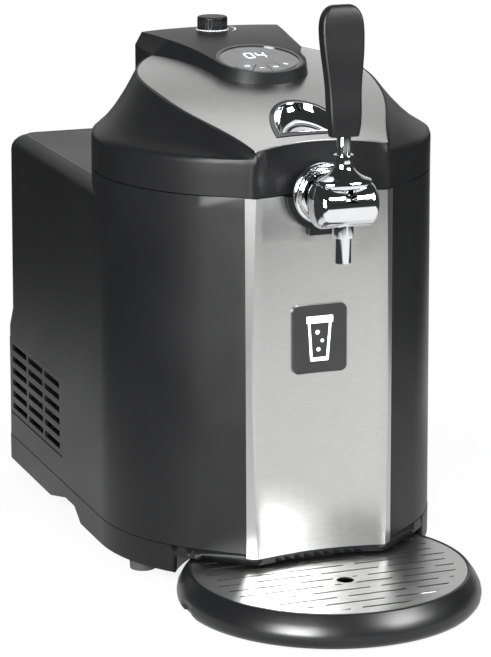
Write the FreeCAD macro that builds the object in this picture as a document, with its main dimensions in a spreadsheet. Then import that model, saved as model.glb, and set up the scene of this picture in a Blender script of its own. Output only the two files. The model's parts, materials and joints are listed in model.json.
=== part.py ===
"""Mini keg beer dispenser: a cooled housing for a five litre keg with a hinged lid and a front tap.

World frame: millimetres, +Z up, the tap on the -Y side, origin on the floor under the axis of the keg well.
Every driving dimension is a cell of the sheet "Sizes"; the sub-parts take their sizes from it.
"""

import FreeCAD, Part
import math
import os
import re

import Sketcher
from FreeCAD import Placement, Rotation, Vector

document = FreeCAD.newDocument("mini_keg_dispenser")

# ----------------------------------------------------------------------------------------
# Driving dimensions
# ----------------------------------------------------------------------------------------

SIZES = [
    # Housing outline
    ("shell_radius", 130.4, "outer radius of the round housing at the lid seam"),
    ("base_radius", 132.8, "outer radius of the plinth"),
    ("shell_foot_radius", 132.5, "outer radius of the housing where it stands on the plinth"),
    ("kink_half", 52.0, "half width of the hollow front face"),
    ("kink_front_top", 125.3, "reach of the face's edges in front of the axis, at the lid"),
    ("kink_front_foot", 129.6, "the same at the plinth"),
    ("face_sag", 7.0, "depth of the hollow front face"),
    ("wall", 3.0, "wall of the plastic mouldings"),
    ("rear_lower", 258.8, "reach of the rear wall behind the axis, lower part"),
    ("rear_upper", 249.0, "the same above the step"),
    ("rear_corner", 12.0, "radius of the upright rear corners"),
    ("step_foot", 132.0, "height where the rear wall starts to step in"),
    ("step_head", 149.0, "height where the step ends"),
    # Levels
    ("foot_height", 15.4, "height of the rubber feet"),
    ("base_height", 21.4, "height of the plinth"),
    ("seam", 0.4, "gap between mouldings at a seam"),
    ("deck_level", 298.5, "top of the flat deck behind the lid"),
    ("deck_round", 13.0, "rounding of the housing's top edge beside the deck"),
    ("seam_level", 308.0, "top of the round housing, where the lid closes"),
    # Plinth
    ("grip_reach", 83.0, "length of the finger grips in the plinth's sides"),
    ("grip_start", 51.0, "where the finger grips start, behind the axis"),
    ("grip_rise", 10.0, "height of the finger grips"),
    ("foot_radius", 11.0, "radius of the rubber feet"),
    ("foot_side", 106.0, "distance of the feet from the middle plane"),
    ("foot_front", 22.0, "the front feet's distance in front of the axis"),
    ("foot_rear", 230.0, "the rear feet's distance behind the axis"),
    # Front panel
    ("sheet", 1.0, "thickness of the steel sheet"),
    ("strip_width", 8.5, "width of the panel's side strips"),
    ("panel_drop", 3.2, "how far the panel hangs below the plinth's seam"),
    ("badge_side", 43.0, "width of the badge"),
    ("badge_height", 52.0, "height of the badge"),
    ("badge_level", 198.0, "height of the badge's middle"),
    ("badge_thick", 1.6, "thickness of the badge"),
    # Keg well
    ("well_radius", 89.0, "inner radius of the keg well"),
    ("well_depth", 252.0, "depth of the keg well"),
    ("liner", 1.5, "wall of the aluminium liner"),
    ("foam_wall", 21.0, "thickness of the foam round the liner"),
    ("well_rim", 296.5, "height of the liner's rim"),
    ("collar_height", 7.5, "height of the plastic collar on the well"),
    # Cooling
    ("cold_width", 60.0, "width of the cold block"),
    ("cold_height", 60.0, "height of the cold block"),
    ("cold_level", 112.0, "height of the middle of the cooling train"),
    ("cold_back", 116.0, "the cold block's rear face behind the axis"),
    ("peltier_side", 40.0, "side of the Peltier module"),
    ("peltier_thick", 4.0, "thickness of the Peltier module"),
    ("sink_side", 100.0, "side of the heat sink"),
    ("sink_plate", 6.0, "thickness of the heat sink's plate"),
    ("sink_depth", 30.0, "depth of the heat sink with its fins"),
    ("fin_thick", 1.6, "thickness of a fin"),
    ("fin_pitch", 7.0, "distance from fin to fin"),
    ("fan_side", 92.0, "side of the fan's frame"),
    ("fan_depth", 25.0, "depth of the fan's frame"),
    ("fan_bore", 43.0, "radius of the fan's duct"),
    ("hub_radius", 17.0, "radius of the fan's hub"),
    ("blade_gap", 1.5, "gap between the blade tips and the duct"),
    # Vents
    ("vent_length", 149.0, "length of a side vent"),
    ("vent_height", 66.0, "height of a side vent"),
    ("vent_middle", 176.0, "the vent's middle behind the axis"),
    ("vent_level", 89.3, "height of the vent's middle"),
    ("vent_thick", 2.6, "thickness of a vent grille"),
    ("slot_length", 41.0, "length of a vent slot"),
    ("slot_height", 5.0, "height of a vent slot"),
    ("slot_bridge", 5.0, "plastic between two vent slots of a row"),
    ("slot_pitch", 10.2, "distance from slot to slot"),
    ("fit_gap", 0.3, "gap round a part dropped into an opening"),
    # Tap
    ("tap_level", 308.6, "height of the tap's axis"),
    ("tap_reach", 165.0, "the tap barrel's distance in front of the axis"),
    ("barrel_radius", 17.0, "radius of the tap barrel"),
    ("barrel_half", 24.8, "half length of the barrel"),
    ("barrel_dome", 3.4, "rise of the barrel's domed ends"),
    ("barrel_round", 6.5, "rounding where the barrel's ends start"),
    ("neck_radius", 12.5, "radius of the tap's neck"),
    ("shank_radius", 11.0, "radius of the tap's shank"),
    ("shank_end", 101.0, "where the shank ends in front of the axis"),
    ("flange_radius", 23.4, "radius of the tap's flange"),
    ("flange_front", 129.2, "front of the flange in front of the axis"),
    ("flange_back", 125.6, "back of the flange in front of the axis"),
    ("collar_radius", 27.5, "radius of the black tap collar"),
    ("collar_back", 112.0, "back of the tap collar in front of the axis"),
    ("collar_tab", 9.5, "half width of the collar's tab"),
    ("collar_tab_foot", 277.6, "height of the tab's lower edge"),
    ("spout_radius", 6.25, "outer radius of the spout"),
    ("spout_bore", 4.7, "inner radius of the spout"),
    ("spout_tip", 264.8, "height of the spout's tip"),
    ("spout_ring", 7.9, "radius of the spout's ring"),
    ("ball_radius", 9.0, "radius of the lever's ball inside the barrel"),
    ("stem_radius", 5.2, "radius of the lever's stem"),
    ("bell_radius", 7.4, "radius of the lever's bell at its top"),
    ("bell_level", 345.0, "height of the bell's top"),
    ("handle_foot", 358.0, "height of the handle's lower end"),
    ("handle_head", 451.5, "height of the handle's top"),
    ("handle_width", 32.5, "greatest width of the handle"),
    ("handle_foot_width", 21.0, "width of the handle's lower end"),
    ("handle_thick", 10.0, "thickness of the handle"),
    ("handle_lean", 6.0, "how far the handle's widest part leans back"),
    ("plunger_radius", 2.4, "radius of the valve plunger"),
    ("plunger_drop", 7.6, "the plunger's distance under the tap's axis"),
    ("running", 0.05, "running clearance of a shaft in its hole"),
    # Lid
    ("ring_level", 336.3, "top of the lid's upright ring"),
    ("plate_front_level", 343.0, "height of the steel top's front corners"),
    ("plate_slope", 0.31, "slope of the steel top at its front"),
    ("plate_curve", 0.00058, "how fast that slope falls towards the rear"),
    ("plate_crown", 7.0, "crown of the steel top across its middle"),
    ("plate_rim", 1.6, "black rim round the steel top"),
    ("flare_power", 1.5, "how hollow the lid's flanks are"),
    ("hinge_reach", 137.0, "the hinge pin's distance behind the axis"),
    ("hinge_level", 306.0, "height of the hinge pin"),
    ("hinge_pin_radius", 2.5, "radius of the hinge pin"),
    ("hinge_half", 36.0, "half width of the hinge"),
    ("knuckle_radius", 5.0, "radius of the hinge's knuckles"),
    ("lug_width", 8.0, "width of a hinge lug"),
    ("seal_radius", 114.5, "inner radius of the lid's seal"),
    ("seal_width", 5.0, "width of the lid's seal"),
    ("seal_height", 4.3, "height of the lid's seal"),
    ("dish_radius", 100.0, "inner radius of the dish in the lid's lining"),
    ("dish_rise", 22.0, "height of the dish"),
    # Control pod
    ("pod_front_level", 388.4, "height of the pod's top over the axis"),
    ("pod_middle_level", 394.6, "the same 45 mm behind the axis"),
    ("pod_rear_level", 396.4, "the same at the pod's rear"),
    ("pod_front_radius", 39.0, "radius of the pod's round front end"),
    ("pod_front_middle", 8.0, "middle of the round front end behind the axis"),
    ("pod_rear", 127.0, "rear of the pod behind the axis"),
    ("dial_radius", 32.0, "radius of the display disc"),
    ("dial_middle", 3.0, "middle of the display disc behind the axis"),
    ("dial_level", 388.3, "height of the display disc's middle"),
    ("dial_tilt", 10.5, "tilt of the display disc in degrees"),
    ("dial_thick", 2.6, "thickness of the display disc"),
    ("bezel_width", 1.6, "width of the gloss ring round the disc"),
    ("key_inner", 13.0, "inner radius of the keys"),
    ("key_outer", 29.0, "outer radius of the keys"),
    ("key_travel", 0.8, "travel of a key"),
    ("knob_radius", 12.0, "radius of the gas regulator's knob"),
    ("knob_height", 10.5, "height of the knob"),
    ("knob_reach", 108.0, "the knob's distance behind the axis"),
    ("knob_foot", 397.2, "height of the knob's lower face"),
    ("regulator_radius", 10.0, "radius of the gas regulator's body"),
    ("cartridge_radius", 11.0, "inner radius of the gas cartridge's sleeve"),
    ("cartridge_length", 84.0, "length of the gas cartridge's sleeve"),
    ("cartridge_level", 344.2, "height of the sleeve's axis"),
    # Latch
    ("latch_half", 27.0, "half width of the latch's finger cup"),
    ("latch_front", 108.0, "the cup's straight edge in front of the axis"),
    ("latch_length", 44.0, "length of the cup"),
    ("latch_depth", 12.0, "depth of the cup"),
    ("latch_rim", 3.2, "width of the black rim round the cup"),
    ("paddle_inset", 8.0, "how far the paddle's sides stay inside the cup's"),
    ("paddle_length", 25.0, "length of the paddle"),
    ("latch_pivot", 96.0, "the latch's pivot in front of the axis"),
    ("latch_pivot_level", 335.0, "height of the latch's pivot"),
    ("hook_side", 24.0, "distance of the latch's hooks from the middle plane"),
    ("hook_width", 6.0, "width of a hook"),
    ("hook_front", 108.0, "front of the hooks before the axis"),
    ("hook_foot", 300.6, "height of the hooks' lower end"),
    # Drip tray
    ("tray_middle", 144.3, "the tray's middle in front of the axis"),
    ("tray_radius", 114.5, "greatest radius of the tray"),
    ("tray_rim_radius", 106.5, "radius of the tray's upper edge"),
    ("tray_foot", 0.6, "gap under the tray"),
    ("tray_top", 26.8, "height of the tray's upper edge"),
    ("tray_wall", 2.4, "wall of the tray"),
    ("tongue_width", 30.0, "width of the tray's tongue"),
    ("tongue_level", 19.0, "height of the tongue's lower face"),
    ("grille_radius", 103.6, "radius of the drip grille"),
    ("tray_pocket", 117.3, "radius of the plinth's pocket for the tray"),
    ("pocket_level", 28.6, "height of the pocket's ceiling"),
    ("drip_slot_width", 2.0, "width of a drip slot"),
    ("drip_slot_length", 46.0, "length of a drip slot"),
    ("drip_bridge", 9.0, "metal between two drip slots of a row"),
    ("drip_row_pitch", 13.0, "distance between the rows of drip slots"),
    ("drain_radius", 6.5, "radius of the drip grille's drain hole"),
    ("drain_shift", 31.5, "the drain hole's distance in front of the tray's middle"),
]

sheet = document.addObject("Spreadsheet::Sheet", "Sizes")
for row, (alias, value, note) in enumerate(SIZES, start=1):
    sheet.set(f"A{row}", alias)
    sheet.set(f"B{row}", str(value))
    sheet.set(f"C{row}", note)
    sheet.setAlias(f"B{row}", alias)
document.recompute()

ALIAS = re.compile(r"\b(" + "|".join(alias for alias, _, _ in SIZES) + r")\b")


def tied(formula):
    """The formula with each dimension's name pointing at its cell."""
    return ALIAS.sub(r"Sizes.\1", str(formula))


def number(formula):
    """The formula's present value."""
    return float(sheet.evalExpression(tied(formula)))


class Cells:
    """Reads a dimension as an attribute: size.wall."""

    def __getattr__(self, alias):
        return float(sheet.get(alias))


size = Cells()
BASE_TOP = "(foot_height + base_height)"
nodes = []

# ----------------------------------------------------------------------------------------
# Helpers: primitives, booleans, sketches and bodies whose sizes are formulas of the sheet
# ----------------------------------------------------------------------------------------

AXIS_TURN = {
    "Z": Rotation(),
    "X": Rotation(Vector(0, 1, 0), 90),
    "Y": Rotation(Vector(1, 0, 0), -90),
}


def tie(item, formulas):
    """Binds properties of an object to formulas."""
    for name, formula in formulas.items():
        item.setExpression(name, tied(formula))
    return item


def seat(item, at, turn=Rotation()):
    """Places an object at a point given by three formulas."""
    item.Placement = Placement(Vector(), turn)
    x, y, z = at
    return tie(item, {"Placement.Base.x": x, "Placement.Base.y": y, "Placement.Base.z": z})


def box(length, width, height, at):
    """A box whose lower corner is at a point."""
    item = document.addObject("Part::Box", "block")
    tie(item, {"Length": length, "Width": width, "Height": height})
    return seat(item, at)


def middle_box(length, y_low, y_high, z_low, z_high, x_middle="0"):
    """A box centred on an X value and between two Y and two Z values."""
    corner = (f"{x_middle} - ({length}) / 2", y_low, z_low)
    return box(length, f"({y_high}) - ({y_low})", f"({z_high}) - ({z_low})", corner)


def cylinder(radius, height, at, axis="Z"):
    """A cylinder that starts at a point and runs along +X, +Y or +Z."""
    item = document.addObject("Part::Cylinder", "round")
    tie(item, {"Radius": radius, "Height": height})
    return seat(item, at, AXIS_TURN[axis])


def cone(radius_low, radius_high, height, at, axis="Z"):
    """A cone or its frustum, along +X, +Y or +Z."""
    item = document.addObject("Part::Cone", "taper")
    tie(item, {"Radius1": radius_low, "Radius2": radius_high, "Height": height})
    return seat(item, at, AXIS_TURN[axis])


def fuse(*items):
    """One solid of several that overlap."""
    item = document.addObject("Part::MultiFuse", "joined")
    item.Shapes = list(items)
    item.Refine = True
    return item


def group(*items):
    """Several separate solids in one object."""
    item = document.addObject("Part::Compound", "group")
    item.Links = list(items)
    return item


def cut(base, *tools):
    """A solid less the tools."""
    item = document.addObject("Part::Cut", "cut")
    item.Base = base
    item.Tool = tools[0] if len(tools) == 1 else fuse(*tools)
    return item


def common(first, second):
    """What two solids share."""
    item = document.addObject("Part::Common", "shared")
    item.Base = first
    item.Tool = second
    return item


def shaped(shape):
    """An object whose shape is made directly."""
    item = document.addObject("Part::Feature", "shaped")
    item.Shape = shape
    return item


def node(label, item):
    """Registers an object as a sub-part under its name."""
    item.Label = label
    nodes.append(item)
    return item


def new_body(label):
    """A PartDesign body that is a sub-part."""
    body = document.addObject("PartDesign::Body", label)
    nodes.append(body)
    return body


def sketch_on(body, plane, name):
    """A sketch on one of the body's own planes."""
    sketch = body.newObject("Sketcher::SketchObject", name)
    role = plane + "_Plane"
    support = next(f for f in body.Origin.OriginFeatures if f.Role == role)
    sketch.AttachmentSupport = [(support, "")]
    sketch.MapMode = "FlatFace"
    return sketch


class Drawing:
    """Collects the edges and dimensions of one sketch and adds them in one go."""

    def __init__(self, body, plane, name):
        self.sketch = sketch_on(body, plane, name)
        self.edges = []
        self.constraints = []
        self.formulas = {}

    def dimension(self, formula, kind, *place):
        """Adds one dimension whose value is a formula."""
        self.formulas[len(self.constraints)] = formula
        self.constraints.append(Sketcher.Constraint(kind, *place, number(formula)))

    def hold_point(self, edge, position, x, y):
        """Holds a point of an edge at two formulas."""
        self.dimension(x, "DistanceX", -1, 1, edge, position)
        self.dimension(y, "DistanceY", -1, 1, edge, position)

    def outline(self, points):
        """A closed outline of straight edges through points given by formulas."""
        first = len(self.edges)
        corners = [Vector(number(x), number(y), 0) for x, y in points]
        for start, end in zip(corners, corners[1:] + corners[:1]):
            self.edges.append(Part.LineSegment(start, end))
        order = list(range(first, len(self.edges)))
        for edge, following in zip(order, order[1:] + order[:1]):
            self.constraints.append(Sketcher.Constraint("Coincident", edge, 2, following, 1))
        for edge, (x, y) in zip(order, points):
            self.hold_point(edge, 1, x, y)
        return self

    def rectangle(self, x_low, x_high, y_low, y_high):
        """A rectangle between formulas."""
        return self.outline([(x_low, y_low), (x_high, y_low), (x_high, y_high), (x_low, y_high)])

    def circle(self, x, y, radius):
        """A circle about a point, all given by formulas."""
        edge = len(self.edges)
        self.edges.append(Part.Circle(Vector(number(x), number(y), 0), Vector(0, 0, 1), number(radius)))
        self.hold_point(edge, 3, x, y)
        self.dimension(radius, "Radius", edge)
        return self

    def finish(self):
        """Writes everything into the sketch and returns it."""
        self.sketch.addGeometry(self.edges, False)
        self.sketch.addConstraint(self.constraints)
        for index, formula in self.formulas.items():
            self.sketch.setExpression(f"Constraints[{index}]", tied(formula))
        return self.sketch


def pad(body, sketch, length, reverse=False):
    """Adds the sketch's prism."""
    feature = body.newObject("PartDesign::Pad", "pad")
    feature.Profile = sketch
    feature.Reversed = reverse
    return tie(feature, {"Length": length})


def pocket(body, sketch):
    """Cuts the sketch's prism through the whole body, both ways."""
    feature = body.newObject("PartDesign::Pocket", "pocket")
    feature.Profile = sketch
    feature.Type = 1
    feature.Midplane = True
    return feature


def spin(body, sketch):
    """Turns the sketch about its own vertical axis."""
    feature = body.newObject("PartDesign::Revolution", "turned")
    feature.Profile = sketch
    feature.ReferenceAxis = (sketch, ["V_Axis"])
    feature.Angle = 360
    return feature


def turned_body(label, points, at=("0", "0", "0"), turn=Rotation()):
    """A body turned from an outline of radius and height formulas."""
    body = new_body(label)
    spin(body, Drawing(body, "XZ", label + "_profile").outline(points).finish())
    return seat(body, at, turn)


def screws(label, places, radius, length, direction):
    """Identical pan-head screws as separate solids; direction points from the head into the material."""
    solids = []
    for place in places:
        start = Vector(*place)
        shank = Part.makeCylinder(radius, length, start, direction)
        head = Part.makeCylinder(1.9 * radius, 0.9 * radius, start, direction * -1)
        solids.append(shank.fuse(head).removeSplitter())
    return node(label, shaped(Part.makeCompound(solids)))


# ----------------------------------------------------------------------------------------
# The housing's outline: a round front with a hollow face, and straight flanks to a rounded rear
# ----------------------------------------------------------------------------------------


def blend(low, high, share):
    """A value between two others."""
    return low + (high - low) * share


def housing_section(z):
    """Radius and reach of the face's edges at a height, from the plinth to the lid's seam."""
    foot = size.foot_height + size.base_height
    share = (z - foot) / (size.seam_level - foot)
    radius = blend(size.shell_foot_radius, size.shell_radius, share)
    return radius, blend(size.kink_front_foot, size.kink_front_top, share)


class FrontFace:
    """The front of an outline at one height: edges, hollow face and the tangents to the round flanks."""

    def __init__(self, radius, reach, inset=0.0):
        corner = Vector(size.kink_half, -reach, 0)
        distance = corner.Length
        azimuth = math.atan2(corner.y, corner.x) + math.acos(radius / distance)
        flank = (Vector(radius * math.cos(azimuth), radius * math.sin(azimuth), 0) - corner).normalize()
        face_radius = (size.kink_half**2 + size.face_sag**2) / (2 * size.face_sag)
        lean = math.asin(size.kink_half / face_radius)
        face = Vector(-math.cos(lean), math.sin(lean), 0)
        turn = math.sin(flank.getAngle(face))
        self.flank = flank
        self.corner = corner + (flank + face) * (inset / turn)
        self.middle = Vector(0, -reach + size.face_sag + inset, 0)
        self.azimuth = azimuth
        self.radius = radius - inset

    def tangent(self):
        """Where the flat flank meets the round housing."""
        return Vector(self.radius * math.cos(self.azimuth), self.radius * math.sin(self.azimuth), 0)


def mirrored(point):
    """The point on the other side of the middle plane."""
    return Vector(-point.x, point.y, point.z)


def closed_wire(edges, z):
    """A wire of edges, lifted to a height."""
    wire = Part.Wire([edge.toShape() for edge in edges])
    wire.translate(Vector(0, 0, z))
    return wire


def front_edges(front):
    """Left flank, hollow face and right flank."""
    left, right = mirrored(front.corner), front.corner
    return [
        Part.LineSegment(mirrored(front.tangent()), left),
        Part.Arc(left, front.middle, right),
        Part.LineSegment(right, front.tangent()),
    ]


def round_wire(radius, reach, z, inset=0.0):
    """The round housing's outline at a height."""
    front = FrontFace(radius, reach, inset)
    back = Part.Arc(front.tangent(), Vector(0, front.radius, 0), mirrored(front.tangent()))
    return closed_wire([back] + front_edges(front), z)


def long_wire(radius, reach, rear, corner, z, inset=0.0):
    """The outline with straight flanks and a flat rear, as on the plinth."""
    front = FrontFace(radius, reach, inset)
    side = front.radius
    rear = rear - inset
    corner = max(corner - inset, 1.0)
    bend = corner * math.sqrt(0.5)
    turn = Vector(side - corner + bend, rear - corner + bend, 0)
    start, end = Vector(side, rear - corner, 0), Vector(side - corner, rear, 0)
    half = front.azimuth / 2
    halfway = Vector(side * math.cos(half), side * math.sin(half), 0)
    flank = Vector(side, 0, 0)
    edges = [
        Part.Arc(front.tangent(), halfway, flank),
        Part.LineSegment(flank, start),
        Part.Arc(start, turn, end),
        Part.LineSegment(end, mirrored(end)),
        Part.Arc(mirrored(end), mirrored(turn), mirrored(start)),
        Part.LineSegment(mirrored(start), mirrored(flank)),
        Part.Arc(mirrored(flank), mirrored(halfway), mirrored(front.tangent())),
    ]
    return closed_wire(edges + front_edges(front), z)


def ruled(wires):
    """A solid with straight walls from outline to outline."""
    return Part.makeLoft(wires, True, True)


def block(x_low, x_high, y_low, y_high, z_low, z_high):
    """A box between limits, as a plain shape."""
    corner = Vector(x_low, y_low, z_low)
    return Part.makeBox(x_high - x_low, y_high - y_low, z_high - z_low, corner)


def round_housing(z_low, z_high, inset):
    """The round part of the housing between two heights."""
    wires = [round_wire(*housing_section(z), z, inset) for z in (z_low, z_high)]
    return ruled(wires)


def rear_reach(z):
    """Reach of the rear wall at a height: upright, a slanted step, upright again."""
    share = (z - size.step_foot) / (size.step_head - size.step_foot)
    return blend(size.rear_lower, size.rear_upper, min(max(share, 0.0), 1.0))


def whole_wire(z, inset=0.0):
    """The housing's outline at a height below the deck: the round front and the box behind it as one line.

    Beside the deck the box draws in along a quarter round, so that its flanks meet the round part further back.
    """
    radius, reach = housing_section(z)
    front = FrontFace(radius, reach, inset)
    start = size.deck_level - size.deck_round
    bend_radius = size.deck_round - inset
    climb = min(max(z - start, 0.0), bend_radius - 0.3)
    draw_in = bend_radius - math.sqrt(bend_radius**2 - climb**2)
    side = front.radius - draw_in
    rear = rear_reach(z) - inset - draw_in
    corner = max(size.rear_corner - inset, 1.0)
    junction = Vector(side, math.sqrt(max(front.radius**2 - side**2, 0.0)), 0)
    lift = max(math.atan2(junction.y, junction.x), 0.0)
    halfway_turn = (front.azimuth + lift) / 2
    halfway = Vector(front.radius * math.cos(halfway_turn), front.radius * math.sin(halfway_turn), 0)
    bend = corner * math.sqrt(0.5)
    turn = Vector(side - corner + bend, rear - corner + bend, 0)
    start_point, end_point = Vector(side, rear - corner, 0), Vector(side - corner, rear, 0)
    edges = [
        Part.Arc(front.tangent(), halfway, junction),
        Part.LineSegment(junction, start_point),
        Part.Arc(start_point, turn, end_point),
        Part.LineSegment(end_point, mirrored(end_point)),
        Part.Arc(mirrored(end_point), mirrored(turn), mirrored(start_point)),
        Part.LineSegment(mirrored(start_point), mirrored(junction)),
        Part.Arc(mirrored(junction), mirrored(halfway), mirrored(front.tangent())),
    ]
    return closed_wire(edges + front_edges(front), z)


def whole_housing(z_low, z_high, inset=0.0):
    """The housing below the deck as one solid, through the step in its rear and the rounding beside the deck."""
    start = size.deck_level - size.deck_round
    bend_radius = size.deck_round - inset
    rounding = [start + bend_radius * share for share in (0.0, 0.3, 0.55, 0.75, 0.88, 0.96)]
    levels = [z_low, size.step_foot, size.step_head] + [z for z in rounding if z < z_high - 0.5] + [z_high]
    return ruled([whole_wire(z, inset) for z in levels])


BASE_TOP_Z = size.foot_height + size.base_height
SHELL_FOOT = BASE_TOP_Z
DECK_THICK = 2.6
DECK_LEDGE = 4.0


def front_band(z_low, z_high, depth, start=0.0, margin=0.0):
    """The layer of the front face between two insets, with its side strips, between two heights."""
    wires = []
    for z in (z_low, z_high):
        radius, reach = housing_section(z)
        outer, inner = FrontFace(radius, reach, start), FrontFace(radius, reach, start + depth)
        edge = FrontFace(radius, reach).corner
        strip = size.strip_width + margin
        outer_end, inner_end = (
            side.corner + side.flank * (strip - (side.corner - edge).dot(side.flank)) for side in (outer, inner)
        )
        edges = [
            Part.LineSegment(mirrored(outer_end), mirrored(outer.corner)),
            Part.Arc(mirrored(outer.corner), outer.middle, outer.corner),
            Part.LineSegment(outer.corner, outer_end),
            Part.LineSegment(outer_end, inner_end),
            Part.LineSegment(inner_end, inner.corner),
            Part.Arc(inner.corner, inner.middle, mirrored(inner.corner)),
            Part.LineSegment(mirrored(inner.corner), mirrored(inner_end)),
            Part.LineSegment(mirrored(inner_end), mirrored(outer_end)),
        ]
        wires.append(closed_wire(edges, z))
    return ruled(wires)


PANEL_GAP = 0.15
PANEL_FOOT = BASE_TOP_Z - size.panel_drop
PANEL_TOP = size.seam_level - size.seam


def collar_prism(grow, y_front, y_back):
    """The tap collar's outline, a half disc with a tab, as a prism along Y."""
    radius = size.collar_radius + grow
    disc = Part.makeCylinder(radius, y_back - y_front, Vector(0, y_front, size.tap_level), Vector(0, 1, 0))
    lower = block(-radius, radius, y_front, y_back, size.tap_level - radius, size.tap_level)
    half_tab = size.collar_tab + grow
    tab = block(-half_tab, half_tab, y_front, y_back, size.collar_tab_foot - grow, size.tap_level)
    return disc.common(lower).fuse(tab).removeSplitter()


# ----------------------------------------------------------------------------------------
# Plinth, underside, feet
# ----------------------------------------------------------------------------------------


def tray_pocket(grow, ceiling):
    """Room for the drip tray in the plinth."""
    return Part.makeCylinder(size.tray_pocket + grow, ceiling, Vector(0, -size.tray_middle, 0))


def tongue_block(grow):
    """The tongue behind the drip tray, which runs in a slot of the pocket's wall."""
    half = size.tongue_width / 2 + grow
    start = -size.tray_middle + size.tray_rim_radius - 1.0
    end = -size.tray_middle + size.tray_pocket + size.wall + 6.0
    return block(-half, half, start, end, size.tongue_level - grow, size.tongue_level + 3.0 + grow)


def grip_cut(side, depth, low, grow=0.0):
    """The finger grip in one flank of the plinth: a ramp that ends in a steep edge."""
    start, end = size.grip_start - grow, size.grip_start + size.grip_reach + grow
    top = size.foot_height + size.grip_rise + grow
    outline = [
        Vector(0, start, low),
        Vector(0, start + 0.22 * size.grip_reach, top),
        Vector(0, start + 0.5 * size.grip_reach, top),
        Vector(0, end, size.foot_height),
        Vector(0, end, low),
    ]
    outer = size.base_radius + 5
    face = Part.Face(Part.makePolygon(outline + outline[:1]))
    face.translate(Vector(side * outer if side < 0 else outer - depth, 0, 0))
    return face.extrude(Vector(depth, 0, 0))


def plinth():
    """The plinth: a low tub, open below, with the tray's pocket in front and finger grips in its flanks."""
    foot, top = size.foot_height, BASE_TOP_Z - size.seam
    radius = size.base_radius
    reach = size.kink_front_foot + radius - size.shell_foot_radius
    rear = size.rear_lower
    outer = ruled([long_wire(radius, reach, rear, size.rear_corner, z) for z in (foot, top)])
    inner = ruled([
        long_wire(radius, reach, rear, size.rear_corner, z, size.wall) for z in (foot - 1, top - size.wall)
    ])
    bosses = []
    for x, y in BASE_SCREW_PLACES:
        boss = Part.makeCylinder(BASE_SCREW_RADIUS + 2.5, top, Vector(x, y, foot + 2.3))
        bosses.append(boss.cut(Part.makeCylinder(BASE_SCREW_RADIUS, 14, Vector(x, y, foot))))
    inner = inner.cut(bosses)
    ceiling = size.pocket_level
    solid = outer.cut(inner.cut(tray_pocket(size.wall, ceiling + 2.2)))
    solid = solid.cut(tray_pocket(0, ceiling))
    notch = front_band(PANEL_FOOT - 0.2, BASE_TOP_Z + 1, 6.0, -3.0, 0.7)
    solid = solid.cut([notch, tongue_block(size.fit_gap)])
    grip_wall = 24.0
    for side in (-1, 1):
        solid = solid.cut(grip_cut(side, grip_wall, foot - 1))
    return solid.removeSplitter()


BASE_SCREW_RADIUS = 2.0
BASE_SCREW_PLACES = [(x, y) for x in (-80.0, 80.0) for y in (20.0, 190.0)]


def underside():
    """The plate that closes the plinth from below, clear of the tray's pocket and the grips."""
    foot = size.foot_height
    radius = size.base_radius
    reach = size.kink_front_foot + radius - size.shell_foot_radius
    inset = size.wall + size.fit_gap
    rear = size.rear_lower
    plate = ruled([long_wire(radius, reach, rear, size.rear_corner, z, inset) for z in (foot, foot + 2)])
    plate = plate.cut(tray_pocket(size.wall + size.fit_gap, foot + 10))
    for side in (-1, 1):
        plate = plate.cut(grip_cut(side, 30.0, foot - 1, 4.0))
    for x, y in BASE_SCREW_PLACES:
        hole = Part.makeCylinder(BASE_SCREW_RADIUS + 0.1, 4, Vector(x, y, foot - 1))
        plate = plate.cut(hole)
    return plate.removeSplitter()


node("base_plinth", shaped(plinth()))
node("base_plate", shaped(underside()))

feet = []
for side in ("-", ""):
    for y in ("-foot_front", "foot_rear"):
        foot = cone("foot_radius - 1", "foot_radius", "foot_height", (f"{side}foot_side", y, "0"))
        feet.append(foot)
node("rubber_feet", group(*feet))

# ----------------------------------------------------------------------------------------
# Housing shell, rear deck, rear cover, vents
# ----------------------------------------------------------------------------------------


COVER_HALF = 96.0
COVER_LOW = 46.0
COVER_HIGH = 126.0


COVER_SCREW_RADIUS = 1.6
COVER_SINK = 1.6
COVER_SCREW_PLACES = [
    (side * (COVER_HALF - 7), level) for side in (-1, 1) for level in (COVER_LOW + 7, COVER_HIGH - 7)
]


def cover_bosses():
    """Four blocks behind the cover's corners for its screws."""
    back = size.rear_lower - size.wall - 0.2
    blocks = []
    for x, z in COVER_SCREW_PLACES:
        outer = 12.0 if x > 0 else 5.0
        corner = block(x - 17.0 + outer, x + outer, back - 11.0, back + 1.0, z - 5, z + 5)
        hole = Part.makeCylinder(COVER_SCREW_RADIUS, 20, Vector(x, back + 5, z), Vector(0, -1, 0))
        blocks.append(corner.cut(hole))
    return blocks


def cover_block(shrink, depth, proud):
    """The rear cover's outline as a block, from its outer face inwards."""
    rear = size.rear_lower
    return block(
        -COVER_HALF + shrink, COVER_HALF - shrink, rear - depth, rear - proud, COVER_LOW + shrink, COVER_HIGH - shrink
    )


def deck_outline(shrink, z_low, z_high):
    """The flat deck's outline behind the round housing, as a prism."""
    half = size.shell_radius - size.deck_round - shrink
    rear = size.rear_upper - size.deck_round - shrink
    prism = block(-half, half, 0, rear, z_low, z_high)
    ring = size.shell_radius + size.fit_gap + shrink
    return prism.cut(Part.makeCylinder(ring, z_high - z_low + 2, Vector(0, 0, z_low - 1)))


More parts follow.
